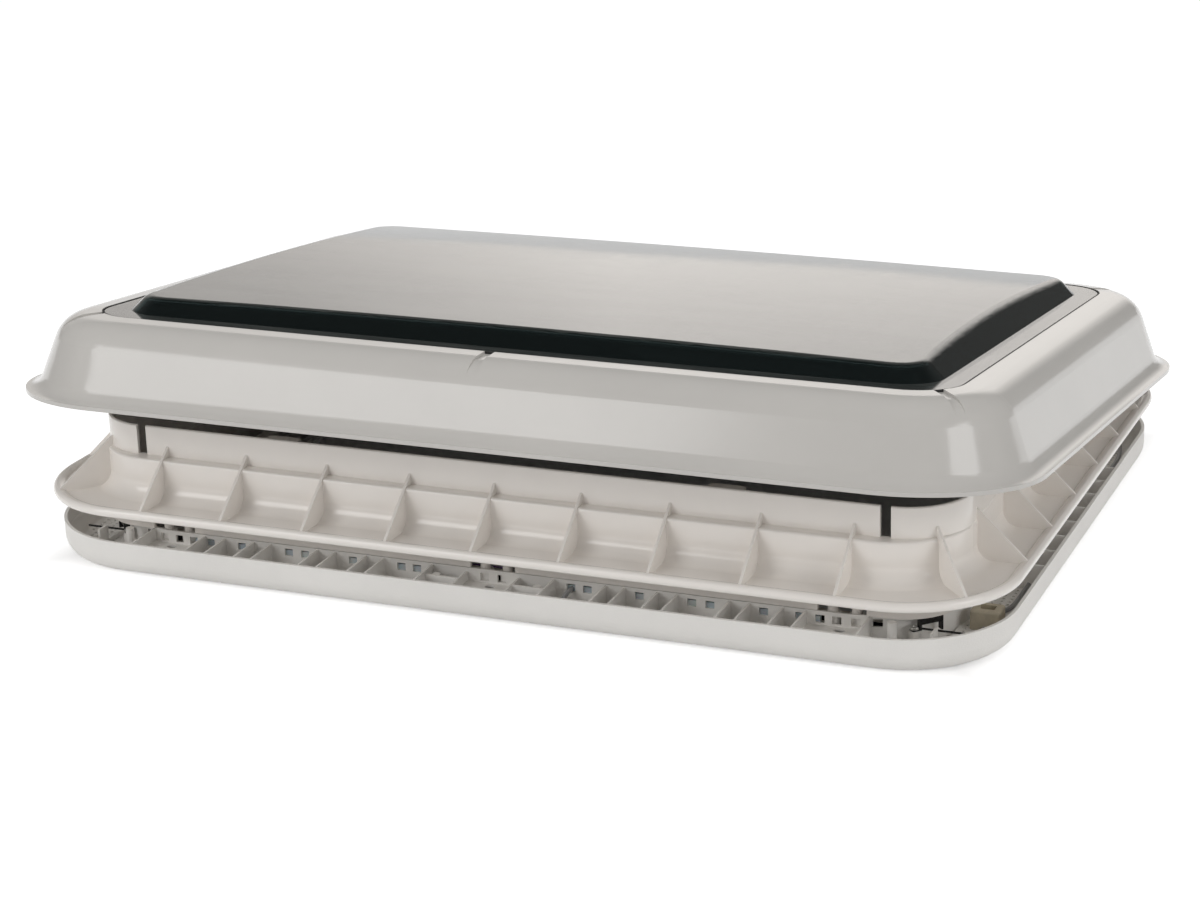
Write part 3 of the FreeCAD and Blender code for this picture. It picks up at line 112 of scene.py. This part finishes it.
def noise(tree, place, scale, detail=3.0, rough=0.5):
    node = tree.nodes.new("ShaderNodeTexNoise")
    node.inputs["Scale"].default_value = scale
    node.inputs["Detail"].default_value = detail
    node.inputs["Roughness"].default_value = rough
    tree.links.new(place, node.inputs["Vector"])
    return node.outputs["Fac"]


def ramp(tree, factor, stops):
    """A colour ramp from (position, colour) stops; a single number makes a grey."""
    node = tree.nodes.new("ShaderNodeValToRGB")
    elements = node.color_ramp.elements
    while len(elements) < len(stops):
        elements.new(0.5)
    for element, (position, colour) in zip(elements, stops):
        element.position = position
        if isinstance(colour, (int, float)):
            colour = (colour, colour, colour)
        element.color = (*colour[:3], 1.0)
    tree.links.new(factor, node.inputs["Fac"])
    return node.outputs["Color"]


def maths(tree, operation, first, second):
    node = tree.nodes.new("ShaderNodeMath")
    node.operation = operation
    for socket, value in zip(node.inputs, (first, second)):
        if isinstance(value, (int, float)):
            socket.default_value = value
        else:
            tree.links.new(value, socket)
    return node.outputs["Value"]


def relief(tree, shader, height, distance):
    node = tree.nodes.new("ShaderNodeBump")
    node.inputs["Distance"].default_value = distance
    node.inputs["Strength"].default_value = 1.0
    tree.links.new(height, node.inputs["Height"])
    tree.links.new(node.outputs["Normal"], shader.inputs["Normal"])


def scaled(colour, factor):
    return tuple(min(1.0, c * factor) for c in colour[:3])


def shaded(tree, shader, factor, colour, low, high):
    """The base colour, from a darker to a lighter shade of one colour."""
    tone = ramp(tree, factor, ((0.3, scaled(colour, low)), (0.7, scaled(colour, high))))
    tree.links.new(tone, shader.inputs["Base Color"])


def roughened(tree, shader, factor, low, high, top=0.7):
    """The roughness, from a low to a high value."""
    tree.links.new(ramp(tree, factor, ((0.3, low), (top, high))), shader.inputs["Roughness"])


def finish_nodes(names, material):
    for name in names:
        node = NODES[name]
        for slot in node.material_slots:
            slot.material = material


def moulded(name, colour, rough, marked=0.2, grain=None):
    """Injection-moulded plastic: faint clouding, handling marks in the gloss and, where it is
    grained, a relief given as its depth and the width of one grain."""
    material, tree, shader = blank_material(name)
    place = object_place(tree)
    shaded(tree, shader, noise(tree, place, CLOUD_SCALE, 4.0, 0.6), colour, 0.965, 1.015)
    roughened(tree, shader, noise(tree, place, MARK_SCALE, 5.0, 0.7),
              rough * (1.0 - marked), rough * (1.0 + marked), 0.75)
    shader.inputs["IOR"].default_value = PLASTIC_IOR
    if grain:
        depth, width = grain
        relief(tree, shader, noise(tree, place, 1.0 / width, 2.0), depth)
    return material


# Sizes and colours

class SkylightFinish(bpy.types.PropertyGroup):
    flange_colour: bpy.props.FloatVectorProperty(
        name="Flange colour", description="Satin white of the outer frame",
        default=(0.92, 0.875, 0.825), subtype="COLOR", min=0.0, max=1.0)
    tray_colour: bpy.props.FloatVectorProperty(
        name="Tray colour", description="Matt grained white of the ceiling tray",
        default=(0.90, 0.88, 0.845), subtype="COLOR", min=0.0, max=1.0)
    # The skirt's white is set darker than the flange's, a painted shade that makes up for the
    # extra light the lamps throw on the lid
    skirt_colour_with_painted_shade: bpy.props.FloatVectorProperty(
        name="Skirt colour", description="Glossy white of the lid's skirt",
        default=(0.61, 0.59, 0.56), subtype="COLOR", min=0.0, max=1.0)
    bezel_colour: bpy.props.FloatVectorProperty(
        name="Inner white", description="Satin white of the lid's ring, the rails and the bars",
        default=(0.74, 0.70, 0.65), subtype="COLOR", min=0.0, max=1.0)
    pane_colour: bpy.props.FloatVectorProperty(
        name="Pane colour", description="Smoked tint of the outer pane",
        default=(0.035, 0.05, 0.05), subtype="COLOR", min=0.0, max=1.0)
    # The inner pane's tint is a warm mid grey, a painted shade for the shadowed space seen under
    # the lid
    inner_pane_colour_with_painted_shade: bpy.props.FloatVectorProperty(
        name="Inner pane colour", description="Milky tint of the inner pane",
        default=(0.50, 0.49, 0.46), subtype="COLOR", min=0.0, max=1.0)
    grain_size: bpy.props.FloatProperty(
        name="Tray grain", description="Width of one grain of the tray's matt surface",
        default=0.0011, min=0.0002, max=0.01, unit="LENGTH")


class SkylightBlinds(bpy.types.PropertyGroup):
    pleat_count: bpy.props.IntProperty(
        name="Pleat faces", description="Faces of folded cloth in each blind",
        default=96, min=8, max=400)
    crease_sag: bpy.props.FloatProperty(
        name="Crease waver", description="How far the folded cloth's creases waver up and down",
        default=0.0005, min=0.0, max=0.002, unit="LENGTH")
    shade_colour: bpy.props.FloatVectorProperty(
        name="Shade colour", description="Pale cloth of the blind",
        default=(0.72, 0.70, 0.66), subtype="COLOR", min=0.0, max=1.0)
    screen_colour: bpy.props.FloatVectorProperty(
        name="Screen colour", description="Dark mesh of the insect screen",
        default=(0.035, 0.035, 0.037), subtype="COLOR", min=0.0, max=1.0)


class SkylightStage(bpy.types.PropertyGroup):
    camera_place: bpy.props.FloatVectorProperty(
        name="Camera place", description="Where the camera stands",
        default=(0.85999825, -2.05457359, 0.76310184), subtype="TRANSLATION", unit="LENGTH",
        precision=6)
    camera_turn: bpy.props.FloatVectorProperty(
        name="Camera turn", description="How the camera is turned, about X, Y and Z",
        default=(1.23685584, 0.03208997, 0.39179052), subtype="EULER", unit="ROTATION",
        precision=6)
    camera_lens: bpy.props.FloatProperty(
        name="Lens", description="Focal length for a 36 mm frame",
        default=86.573, min=10.0, max=400.0, unit="CAMERA")
    top_lamp: bpy.props.FloatProperty(
        name="Top lamp", description="Power of the large lamp overhead",
        default=14.0, min=0.0, max=1000.0, unit="POWER")
    left_lamp: bpy.props.FloatProperty(
        name="Left lamp", description="Power of the soft lamp on the left of the camera",
        default=25.0, min=0.0, max=1000.0, unit="POWER")
    right_lamp: bpy.props.FloatProperty(
        name="Right lamp", description="Power of the soft lamp on the right",
        default=16.0, min=0.0, max=1000.0, unit="POWER")
    fill: bpy.props.FloatProperty(
        name="Fill", description="Strength of the even light from all sides",
        default=0.40, min=0.0, max=1.0, subtype="FACTOR")
    backdrop: bpy.props.FloatProperty(
        name="Backdrop", description="Brightness of the white backdrop in reflections",
        default=1.6, min=0.0, max=5.0)


# One operator for each group of pieces

class SKYLIGHT_OT_mouldings(bpy.types.Operator):
    """Finish the white mouldings: flange, tray, skirt, ring, rails, bars and grilles"""
    bl_idname = "skylight.mouldings"
    bl_label = "White mouldings"

    def execute(self, context):
        finish = context.scene.skylight_finish
        satin = moulded("satin_flange_plastic", finish.flange_colour, 0.16, 0.12)
        matt = moulded("grained_tray_plastic", finish.tray_colour, 0.55,
                       grain=(0.00016, finish.grain_size))
        gloss = moulded("glossy_skirt_plastic", finish.skirt_colour_with_painted_shade, 0.14, 0.08)
        inner = moulded("satin_inner_plastic", finish.bezel_colour, 0.4)
        finish_nodes(["roof_flange"] + ["hinge_bracket" + s for s in SIDES], satin)
        finish_nodes(["inner_frame"] + ["vent_grille" + c for c in CORNERS], matt)
        finish_nodes(["lid_frame"], gloss)
        finish_nodes(["lid_ring", "shade_bar", "screen_bar", "shade_anchor", "screen_anchor"]
                     + [n + s for n in ("blind_rail", "hinge_leaf", "stay_rail", "stay_shoe",
                                        "keeper", "latch_lever") for s in SIDES], inner)
        return {"FINISHED"}


class SKYLIGHT_OT_panes(bpy.types.Operator):
    """Finish the smoked outer pane and the milky inner pane"""
    bl_idname = "skylight.panes"
    bl_label = "Panes"

    def smoked(self, colour):
        """Dark smoked acrylic with wiping marks in it and a pale film on its level parts: partly
        settled dirt, partly a painted sheen that lightens the top.
        """
        material, tree, shader = blank_material("smoked_acrylic")
        place = object_place(tree)
        geometry = tree.nodes.new("ShaderNodeNewGeometry")
        split = tree.nodes.new("ShaderNodeSeparateXYZ")
        tree.links.new(geometry.outputs["True Normal"], split.inputs["Vector"])
        level = ramp(tree, split.outputs["Z"], ((0.93, 0.0), (0.985, 1.0)))
        smear = noise(tree, object_place(tree, (0.5, 2.4, 1.0), (0.0, 0.0, 0.35)), 14.0, 6.0, 0.7)
        film = ramp(tree, smear, ((0.3, 0.10), (0.7, 0.22)))
        # The pale film on the level top is partly settled dirt and partly a painted sheen standing
        # for the top's reflection
        pale_mottle = maths(tree, "MULTIPLY", level, film)
        mix = tree.nodes.new("ShaderNodeMix")
        mix.data_type = "RGBA"
        tree.links.new(pale_mottle, mix.inputs["Factor"])
        mix.inputs["A"].default_value = (*colour[:3], 1.0)
        mix.inputs["B"].default_value = DUST_AND_SHEEN_COLOUR
        tree.links.new(mix.outputs["Result"], shader.inputs["Base Color"])
        tree.links.new(maths(tree, "SUBTRACT", PANE_CLEARNESS, maths(tree, "MULTIPLY", pale_mottle, 2.0)),
                       shader.inputs["Transmission Weight"])
        streaks = noise(tree, object_place(tree, (2.2, 0.5, 1.0), (0.0, 0.0, 0.5)),
                        34.0, 6.0, 0.75)
        haze = ramp(tree, streaks, ((0.35, 0.05), (0.62, 0.09), (0.8, 0.2)))
        tree.links.new(maths(tree, "MULTIPLY", level, haze), shader.inputs["Roughness"])
        shader.inputs["IOR"].default_value = ACRYLIC_IOR
        relief(tree, shader, noise(tree, place, 3.2, 1.0), 0.0012)
        return material

    def milky(self, colour):
        material, tree, shader = blank_material("milky_inner_acrylic")
        place = object_place(tree)
        shaded(tree, shader, noise(tree, place, 8.0, 2.0), colour, 0.94, 1.0)
        roughened(tree, shader, noise(tree, place, 60.0, 5.0, 0.7), 0.42, 0.58, 0.75)
        shader.inputs["IOR"].default_value = ACRYLIC_IOR
        shader.inputs["Specular IOR Level"].default_value = 0.1
        shader.inputs["Transmission Weight"].default_value = 0.35
        return material

    def execute(self, context):
        finish = context.scene.skylight_finish
        finish_nodes(["outer_pane"], self.smoked(finish.pane_colour))
        finish_nodes(["inner_pane"], self.milky(finish.inner_pane_colour_with_painted_shade))
        return {"FINISHED"}


class SKYLIGHT_OT_seals(bpy.types.Operator):
    """Finish the pane's gasket and the lid's bulb seal"""
    bl_idname = "skylight.seals"
    bl_label = "Gasket and seal"

    def execute(self, context):
        material, tree, shader = blank_material("black_rubber")
        place = object_place(tree)
        pale_mottle = noise(tree, place, 55.0, 5.0, 0.7)
        tone = ramp(tree, pale_mottle, ((0.35, 0.012), (0.8, 0.03)))
        tree.links.new(tone, shader.inputs["Base Color"])
        roughened(tree, shader, pale_mottle, 0.5, 0.72)
        relief(tree, shader, noise(tree, place, 1600.0, 2.0), 0.00005)
        finish_nodes(["pane_gasket", "lid_seal"], material)
        return {"FINISHED"}


class SKYLIGHT_OT_metal(bpy.types.Operator):
    """Finish screws, pins, stays and spring clips"""
    bl_idname = "skylight.metal"
    bl_label = "Metal parts"

    def plated(self, name, colour, rough, stretch):
        material, tree, shader = blank_material(name)
        place = object_place(tree, stretch)
        streak = noise(tree, place, 240.0, 4.0, 0.65)
        shaded(tree, shader, streak, colour, 0.86, 1.05)
        roughened(tree, shader, streak, rough * 0.8, rough * 1.3)
        shader.inputs["Metallic"].default_value = 1.0
        relief(tree, shader, noise(tree, place, 900.0, 2.0), 0.00002)
        return material

    def execute(self, context):
        zinc = self.plated("bright_zinc", (0.82, 0.82, 0.80), 0.22, (1.0, 1.0, 1.0))
        steel = self.plated("brushed_steel", (0.60, 0.60, 0.59), 0.32, (6.0, 1.0, 1.0))
        aluminium = self.plated("satin_aluminium", (0.74, 0.74, 0.75), 0.36, (8.0, 0.6, 1.0))
        finish_nodes(["post_screws", "clamp_screws", "ring_screws", "leaf_screws",
                      "hinge_bracket_screws"], zinc)
        finish_nodes(["hinge_pins"] + [n + s for n in ("stay_bracket", "latch_stud")
                                       for s in SIDES], steel)
        finish_nodes(["stay_arm" + s for s in SIDES], aluminium)
        material, tree, shader = blank_material("blackened_spring_steel")
        place = object_place(tree)
        scuff = noise(tree, place, 320.0, 5.0, 0.7)
        tree.links.new(ramp(tree, scuff, ((0.35, 0.012), (0.8, 0.06))),
                       shader.inputs["Base Color"])
        roughened(tree, shader, scuff, 0.28, 0.5)
        shader.inputs["Metallic"].default_value = 0.6
        relief(tree, shader, noise(tree, place, 1400.0, 2.0), 0.00003)
        finish_nodes(["spring_clips"], material)
        return {"FINISHED"}


class SKYLIGHT_OT_dark_plastic(bpy.types.Operator):
    """Finish the light switch's case and button"""
    bl_idname = "skylight.dark_plastic"
    bl_label = "Dark plastic"

    def execute(self, context):
        dark = moulded("dark_grained_plastic", (0.035, 0.036, 0.038), 0.45,
                       grain=(0.00006, 0.0006))
        finish_nodes(["switch_case", "switch_button"], dark)
        return {"FINISHED"}


class SKYLIGHT_OT_lights(bpy.types.Operator):
    """Finish the light strips, their wires, the cables and the supply connector"""
    bl_idname = "skylight.lights"
    bl_label = "Lights and wiring"

    def insulated(self, name, colour, rough):
        material, tree, shader = blank_material(name)
        place = object_place(tree)
        smear = noise(tree, place, 130.0, 4.0, 0.6)
        shaded(tree, shader, smear, colour, 0.86, 1.08)
        roughened(tree, shader, smear, rough * 0.8, rough * 1.3)
        relief(tree, shader, noise(tree, place, 1100.0, 2.0), 0.00002)
        return material

    def execute(self, context):
        finish_nodes(["light_wire_violet"],
                     self.insulated("violet_insulation", (0.16, 0.07, 0.24), 0.3))
        finish_nodes(["light_wire_white"],
                     self.insulated("white_insulation", (0.80, 0.80, 0.80), 0.32))
        finish_nodes(["light_cable_front", "light_cable_rear"],
                     self.insulated("grey_sheath", (0.36, 0.36, 0.37), 0.42))
        finish_nodes(["supply_connector"],
                     self.insulated("beige_nylon", (0.55, 0.49, 0.37), 0.45))
        material, tree, shader = blank_material("milky_light_strip")
        place = object_place(tree)
        diode = tree.nodes.new("ShaderNodeTexWave")
        diode.wave_type = "BANDS"
        diode.bands_direction = "X"
        diode.inputs["Scale"].default_value = 9.0
        diode.inputs["Distortion"].default_value = 0.0
        tree.links.new(place, diode.inputs["Vector"])
        tree.links.new(ramp(tree, diode.outputs["Fac"],
                            ((0.6, (0.50, 0.56, 0.60)), (0.9, (0.62, 0.66, 0.66)))),
                       shader.inputs["Base Color"])
        shader.inputs["Subsurface Weight"].default_value = 0.2
        shader.inputs["Subsurface Scale"].default_value = 0.002
        roughened(tree, shader, noise(tree, place, 300.0), 0.25, 0.4)
        finish_nodes(["light_strip_front", "light_strip_rear"], material)
        return {"FINISHED"}


class SKYLIGHT_OT_blinds(bpy.types.Operator):
    """Fold the blind's cloth and the insect screen between their bars and anchors"""
    bl_idname = "skylight.blinds"
    bl_label = "Pleated blinds"

    def woven(self, name, colour, open_mesh):
        material, tree, shader = blank_material(name)
        coordinates = tree.nodes.new("ShaderNodeUVMap")
        threads = []
        for direction in ("X", "Y"):
            wave = tree.nodes.new("ShaderNodeTexWave")
            wave.wave_type = "BANDS"
            wave.bands_direction = direction
            wave.inputs["Scale"].default_value = 260.0
            wave.inputs["Distortion"].default_value = 0.4
            tree.links.new(coordinates.outputs["UV"], wave.inputs["Vector"])
            threads.append(wave.outputs["Fac"])
        weave = maths(tree, "MAXIMUM", *threads)
        place = object_place(tree)
        shaded(tree, shader, noise(tree, place, 90.0, 4.0, 0.7), colour, 0.85, 1.08)
        shader.inputs["Roughness"].default_value = 0.85
        shader.inputs["Sheen Weight"].default_value = 0.25
        relief(tree, shader, weave, 0.00012)
        if open_mesh:
            tree.links.new(ramp(tree, weave, ((0.45, 0.0), (0.55, 1.0))), shader.inputs["Alpha"])
        return material

    def folded_cloth(self, node, settings):
        low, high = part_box(node)
        size = high - low
        middle = (low + high) / 2
        count = settings.pleat_count
        bpy.ops.object.select_all(action="DESELECT")
        bpy.ops.mesh.primitive_grid_add(x_subdivisions=CLOTH_COLUMNS, y_subdivisions=count,
                                        size=1.0, location=middle)
        cloth = bpy.context.object
        cloth.scale = (size.x, size.y, 1.0)
        bpy.ops.object.transform_apply(location=True, rotation=True, scale=True)
        for vertex in cloth.data.vertices:
            row = round((vertex.co.y - low.y) / size.y * count)
            turn = vertex.co.x * WAVER_ALONG_CREASE + row * WAVER_PER_FOLD
            waver = settings.crease_sag * math.sin(turn)
            reach = size.z / 2 - settings.crease_sag
            vertex.co.z = middle.z + (reach if row % 2 else -reach) + waver
        flat_length = count * size.z
        layer = cloth.data.uv_layers.active.data
        for loop in cloth.data.loops:
            row = round((cloth.data.vertices[loop.vertex_index].co.y - low.y) / size.y * count)
            layer[loop.index].uv = (cloth.data.vertices[loop.vertex_index].co.x - low.x,
                                    row * size.z)
        return cloth, (size.x, flat_length)

    def execute(self, context):
        settings = context.scene.skylight_blinds
        for name, way, material in (
                ("shade", 1, self.woven("shade_cloth", settings.shade_colour, False)),
                ("screen", -1, self.woven("screen_mesh", settings.screen_colour, True))):
            node = name + "_pleats"
            cloth, flat = self.folded_cloth(node, settings)
            cloth.name = name + "_cloth"
            cloth.data.materials.append(material)
            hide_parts(node)
            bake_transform(cloth)
        return {"FINISHED"}


class SKYLIGHT_OT_stage(bpy.types.Operator):
    """Set the camera, the floor, the lamps and the light from all sides"""
    bl_idname = "skylight.stage"
    bl_label = "Stage"

    def camera(self, settings):
        data = bpy.data.cameras.new("skylight_camera")
        data.sensor_width = SENSOR_WIDTH
        data.lens = settings.camera_lens
        camera = bpy.data.objects.new("skylight_camera", data)
        camera.location = settings.camera_place
        camera.rotation_euler = Euler(settings.camera_turn)
        bpy.context.scene.collection.objects.link(camera)
        bpy.context.scene.camera = camera

    def lamp(self, name, power):
        place, width, height = LAMPS[name]
        data = bpy.data.lights.new(name, "AREA")
        data.shape = "RECTANGLE"
        data.size = width
        data.size_y = height
        data.energy = power
        lamp = bpy.data.objects.new(name, data)
        lamp.location = place
        lamp.rotation_euler = (-Vector(place)).to_track_quat("-Z", "Y").to_euler()
        bpy.context.scene.collection.objects.link(lamp)
        return lamp

    def floor(self):
        bpy.ops.object.select_all(action="DESELECT")
        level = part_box("inner_frame")[0].z
        bpy.ops.mesh.primitive_plane_add(size=FLOOR_SIZE, location=(0.0, 0.0, level))
        floor = bpy.context.object
        floor.name = "floor"
        bpy.ops.object.transform_apply(location=True, rotation=True, scale=True)
        material, tree, shader = blank_material("pale_floor")
        shader.inputs["Base Color"].default_value = (FLOOR_GREY, FLOOR_GREY, FLOOR_GREY, 1.0)
        shader.inputs["Roughness"].default_value = 0.9
        shader.inputs["Specular IOR Level"].default_value = 0.0
        shader.inputs["Emission Color"].default_value = WHITE
        path = tree.nodes.new("ShaderNodeLightPath")
        seen = maths(tree, "MAXIMUM", path.outputs["Is Camera Ray"], path.outputs["Is Glossy Ray"])
        seen = maths(tree, "MAXIMUM", seen, path.outputs["Is Transmission Ray"])
        split = tree.nodes.new("ShaderNodeSeparateXYZ")
        tree.links.new(object_place(tree), split.inputs["Vector"])
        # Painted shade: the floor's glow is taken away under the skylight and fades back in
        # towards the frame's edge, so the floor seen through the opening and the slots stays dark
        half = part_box("inner_frame")[1]
        beyond = [maths(tree, "SUBTRACT", maths(tree, "ABSOLUTE", split.outputs[axis], 0.0), edge)
                  for axis, edge in (("X", half.x), ("Y", half.y))]
        beyond = maths(tree, "ADD", maths(tree, "MAXIMUM", *beyond), FLOOR_SHADE_WIDTH)
        unshaded_floor = ramp(tree, beyond, ((0.4 * FLOOR_SHADE_WIDTH, 0.0), (FLOOR_SHADE_WIDTH, 1.0)))
        glow = maths(tree, "MULTIPLY", maths(tree, "MULTIPLY", seen, unshaded_floor), FLOOR_GLOW)
        tree.links.new(glow, shader.inputs["Emission Strength"])
        floor.data.materials.append(material)

    def reflections(self, tree, settings):
        """What glossy surfaces mirror: a dim room, and a backdrop that stands low behind the
        skylight."""
        coordinates = tree.nodes.new("ShaderNodeTexCoord")
        split = tree.nodes.new("ShaderNodeSeparateXYZ")
        tree.links.new(coordinates.outputs["Generated"], split.inputs["Vector"])
        across, along, up = split.outputs
        sine, cosine = HEADING
        ahead = maths(tree, "SUBTRACT", maths(tree, "MULTIPLY", along, cosine),
                      maths(tree, "MULTIPLY", across, sine))
        aside = maths(tree, "ADD", maths(tree, "MULTIPLY", along, sine),
                      maths(tree, "MULTIPLY", across, cosine))
        aside = maths(tree, "MULTIPLY", maths(tree, "ADD", aside, 1.0), 0.5)
        panel = maths(tree, "MULTIPLY", ramp(tree, ahead, BACKDROP_AHEAD),
                      ramp(tree, up, BACKDROP_UP))
        panel = maths(tree, "MULTIPLY", panel, ramp(tree, aside, BACKDROP_ASIDE))
        room = maths(tree, "MULTIPLY", ramp(tree, up, ROOM_UP), ramp(tree, ahead, ROOM_AHEAD))
        return maths(tree, "ADD", room, maths(tree, "MULTIPLY", panel, settings.backdrop))

    def world(self, settings):
        """White to the camera and through the panes, even light on matt surfaces, and a studio
        of its own for reflections."""
        world = bpy.data.worlds.new("studio")
        world.use_nodes = True
        tree = world.node_tree
        tree.nodes.clear()
        path = tree.nodes.new("ShaderNodeLightPath")
        lights = ((settings.fill, WHITE, None),
                  (self.reflections(tree, settings), BACKDROP_TINT, path.outputs["Is Glossy Ray"]),
                  (1.0, WHITE, path.outputs["Is Transmission Ray"]),
                  (1.0, WHITE, path.outputs["Is Camera Ray"]))
        mixed = None
        for strength, tint, factor in lights:
            light = tree.nodes.new("ShaderNodeBackground")
            light.inputs["Color"].default_value = tint
            if isinstance(strength, float):
                light.inputs["Strength"].default_value = strength
            else:
                tree.links.new(strength, light.inputs["Strength"])
            if mixed is None:
                mixed = light.outputs[0]
                continue
            mix = tree.nodes.new("ShaderNodeMixShader")
            tree.links.new(factor, mix.inputs[0])
            tree.links.new(mixed, mix.inputs[1])
            tree.links.new(light.outputs[0], mix.inputs[2])
            mixed = mix.outputs[0]
        output = tree.nodes.new("ShaderNodeOutputWorld")
        tree.links.new(mixed, output.inputs["Surface"])
        bpy.context.scene.world = world

    def execute(self, context):
        settings = context.scene.skylight_stage
        self.camera(settings)
        self.floor()
        self.world(settings)
        self.lamp("top_lamp", settings.top_lamp).visible_glossy = False
        self.lamp("left_lamp", settings.left_lamp)
        self.lamp("right_lamp", settings.right_lamp)
        context.scene.view_settings.view_transform = "Standard"
        return {"FINISHED"}


OPERATORS = (
    SKYLIGHT_OT_stage,
    SKYLIGHT_OT_mouldings,
    SKYLIGHT_OT_panes,
    SKYLIGHT_OT_seals,
    SKYLIGHT_OT_metal,
    SKYLIGHT_OT_dark_plastic,
    SKYLIGHT_OT_lights,
    SKYLIGHT_OT_blinds,
)


class SKYLIGHT_PT_sidebar(bpy.types.Panel):
    """Lists the skylight's sizes, colours and steps"""
    bl_idname = "SKYLIGHT_PT_sidebar"
    bl_label = "Camper skylight"
    bl_space_type = "VIEW_3D"
    bl_region_type = "UI"
    bl_category = "Skylight"

    def draw(self, context):
        for group in ("skylight_finish", "skylight_blinds", "skylight_stage"):
            settings = getattr(context.scene, group)
            box = self.layout.box()
            for name in type(settings).__annotations__:
                box.prop(settings, name)
        for operator in OPERATORS:
            self.layout.operator(operator.bl_idname)


GROUPS = {
    "skylight_finish": SkylightFinish,
    "skylight_blinds": SkylightBlinds,
    "skylight_stage": SkylightStage,
}


def register():
    for name, group in GROUPS.items():
        bpy.utils.register_class(group)
        setattr(bpy.types.Scene, name, bpy.props.PointerProperty(type=group))
    for piece in (*OPERATORS, SKYLIGHT_PT_sidebar):
        bpy.utils.register_class(piece)


def unregister():
    for piece in (SKYLIGHT_PT_sidebar, *reversed(OPERATORS)):
        bpy.utils.unregister_class(piece)
    for name, group in GROUPS.items():
        delattr(bpy.types.Scene, name)
        bpy.utils.unregister_class(group)


def main():
    register()
    bpy.ops.skylight.stage()
    bpy.ops.skylight.mouldings()
    bpy.ops.skylight.panes()
    bpy.ops.skylight.seals()
    bpy.ops.skylight.metal()
    bpy.ops.skylight.dark_plastic()
    bpy.ops.skylight.lights()
    bpy.ops.skylight.blinds()


if __name__ == "__main__":
    main()
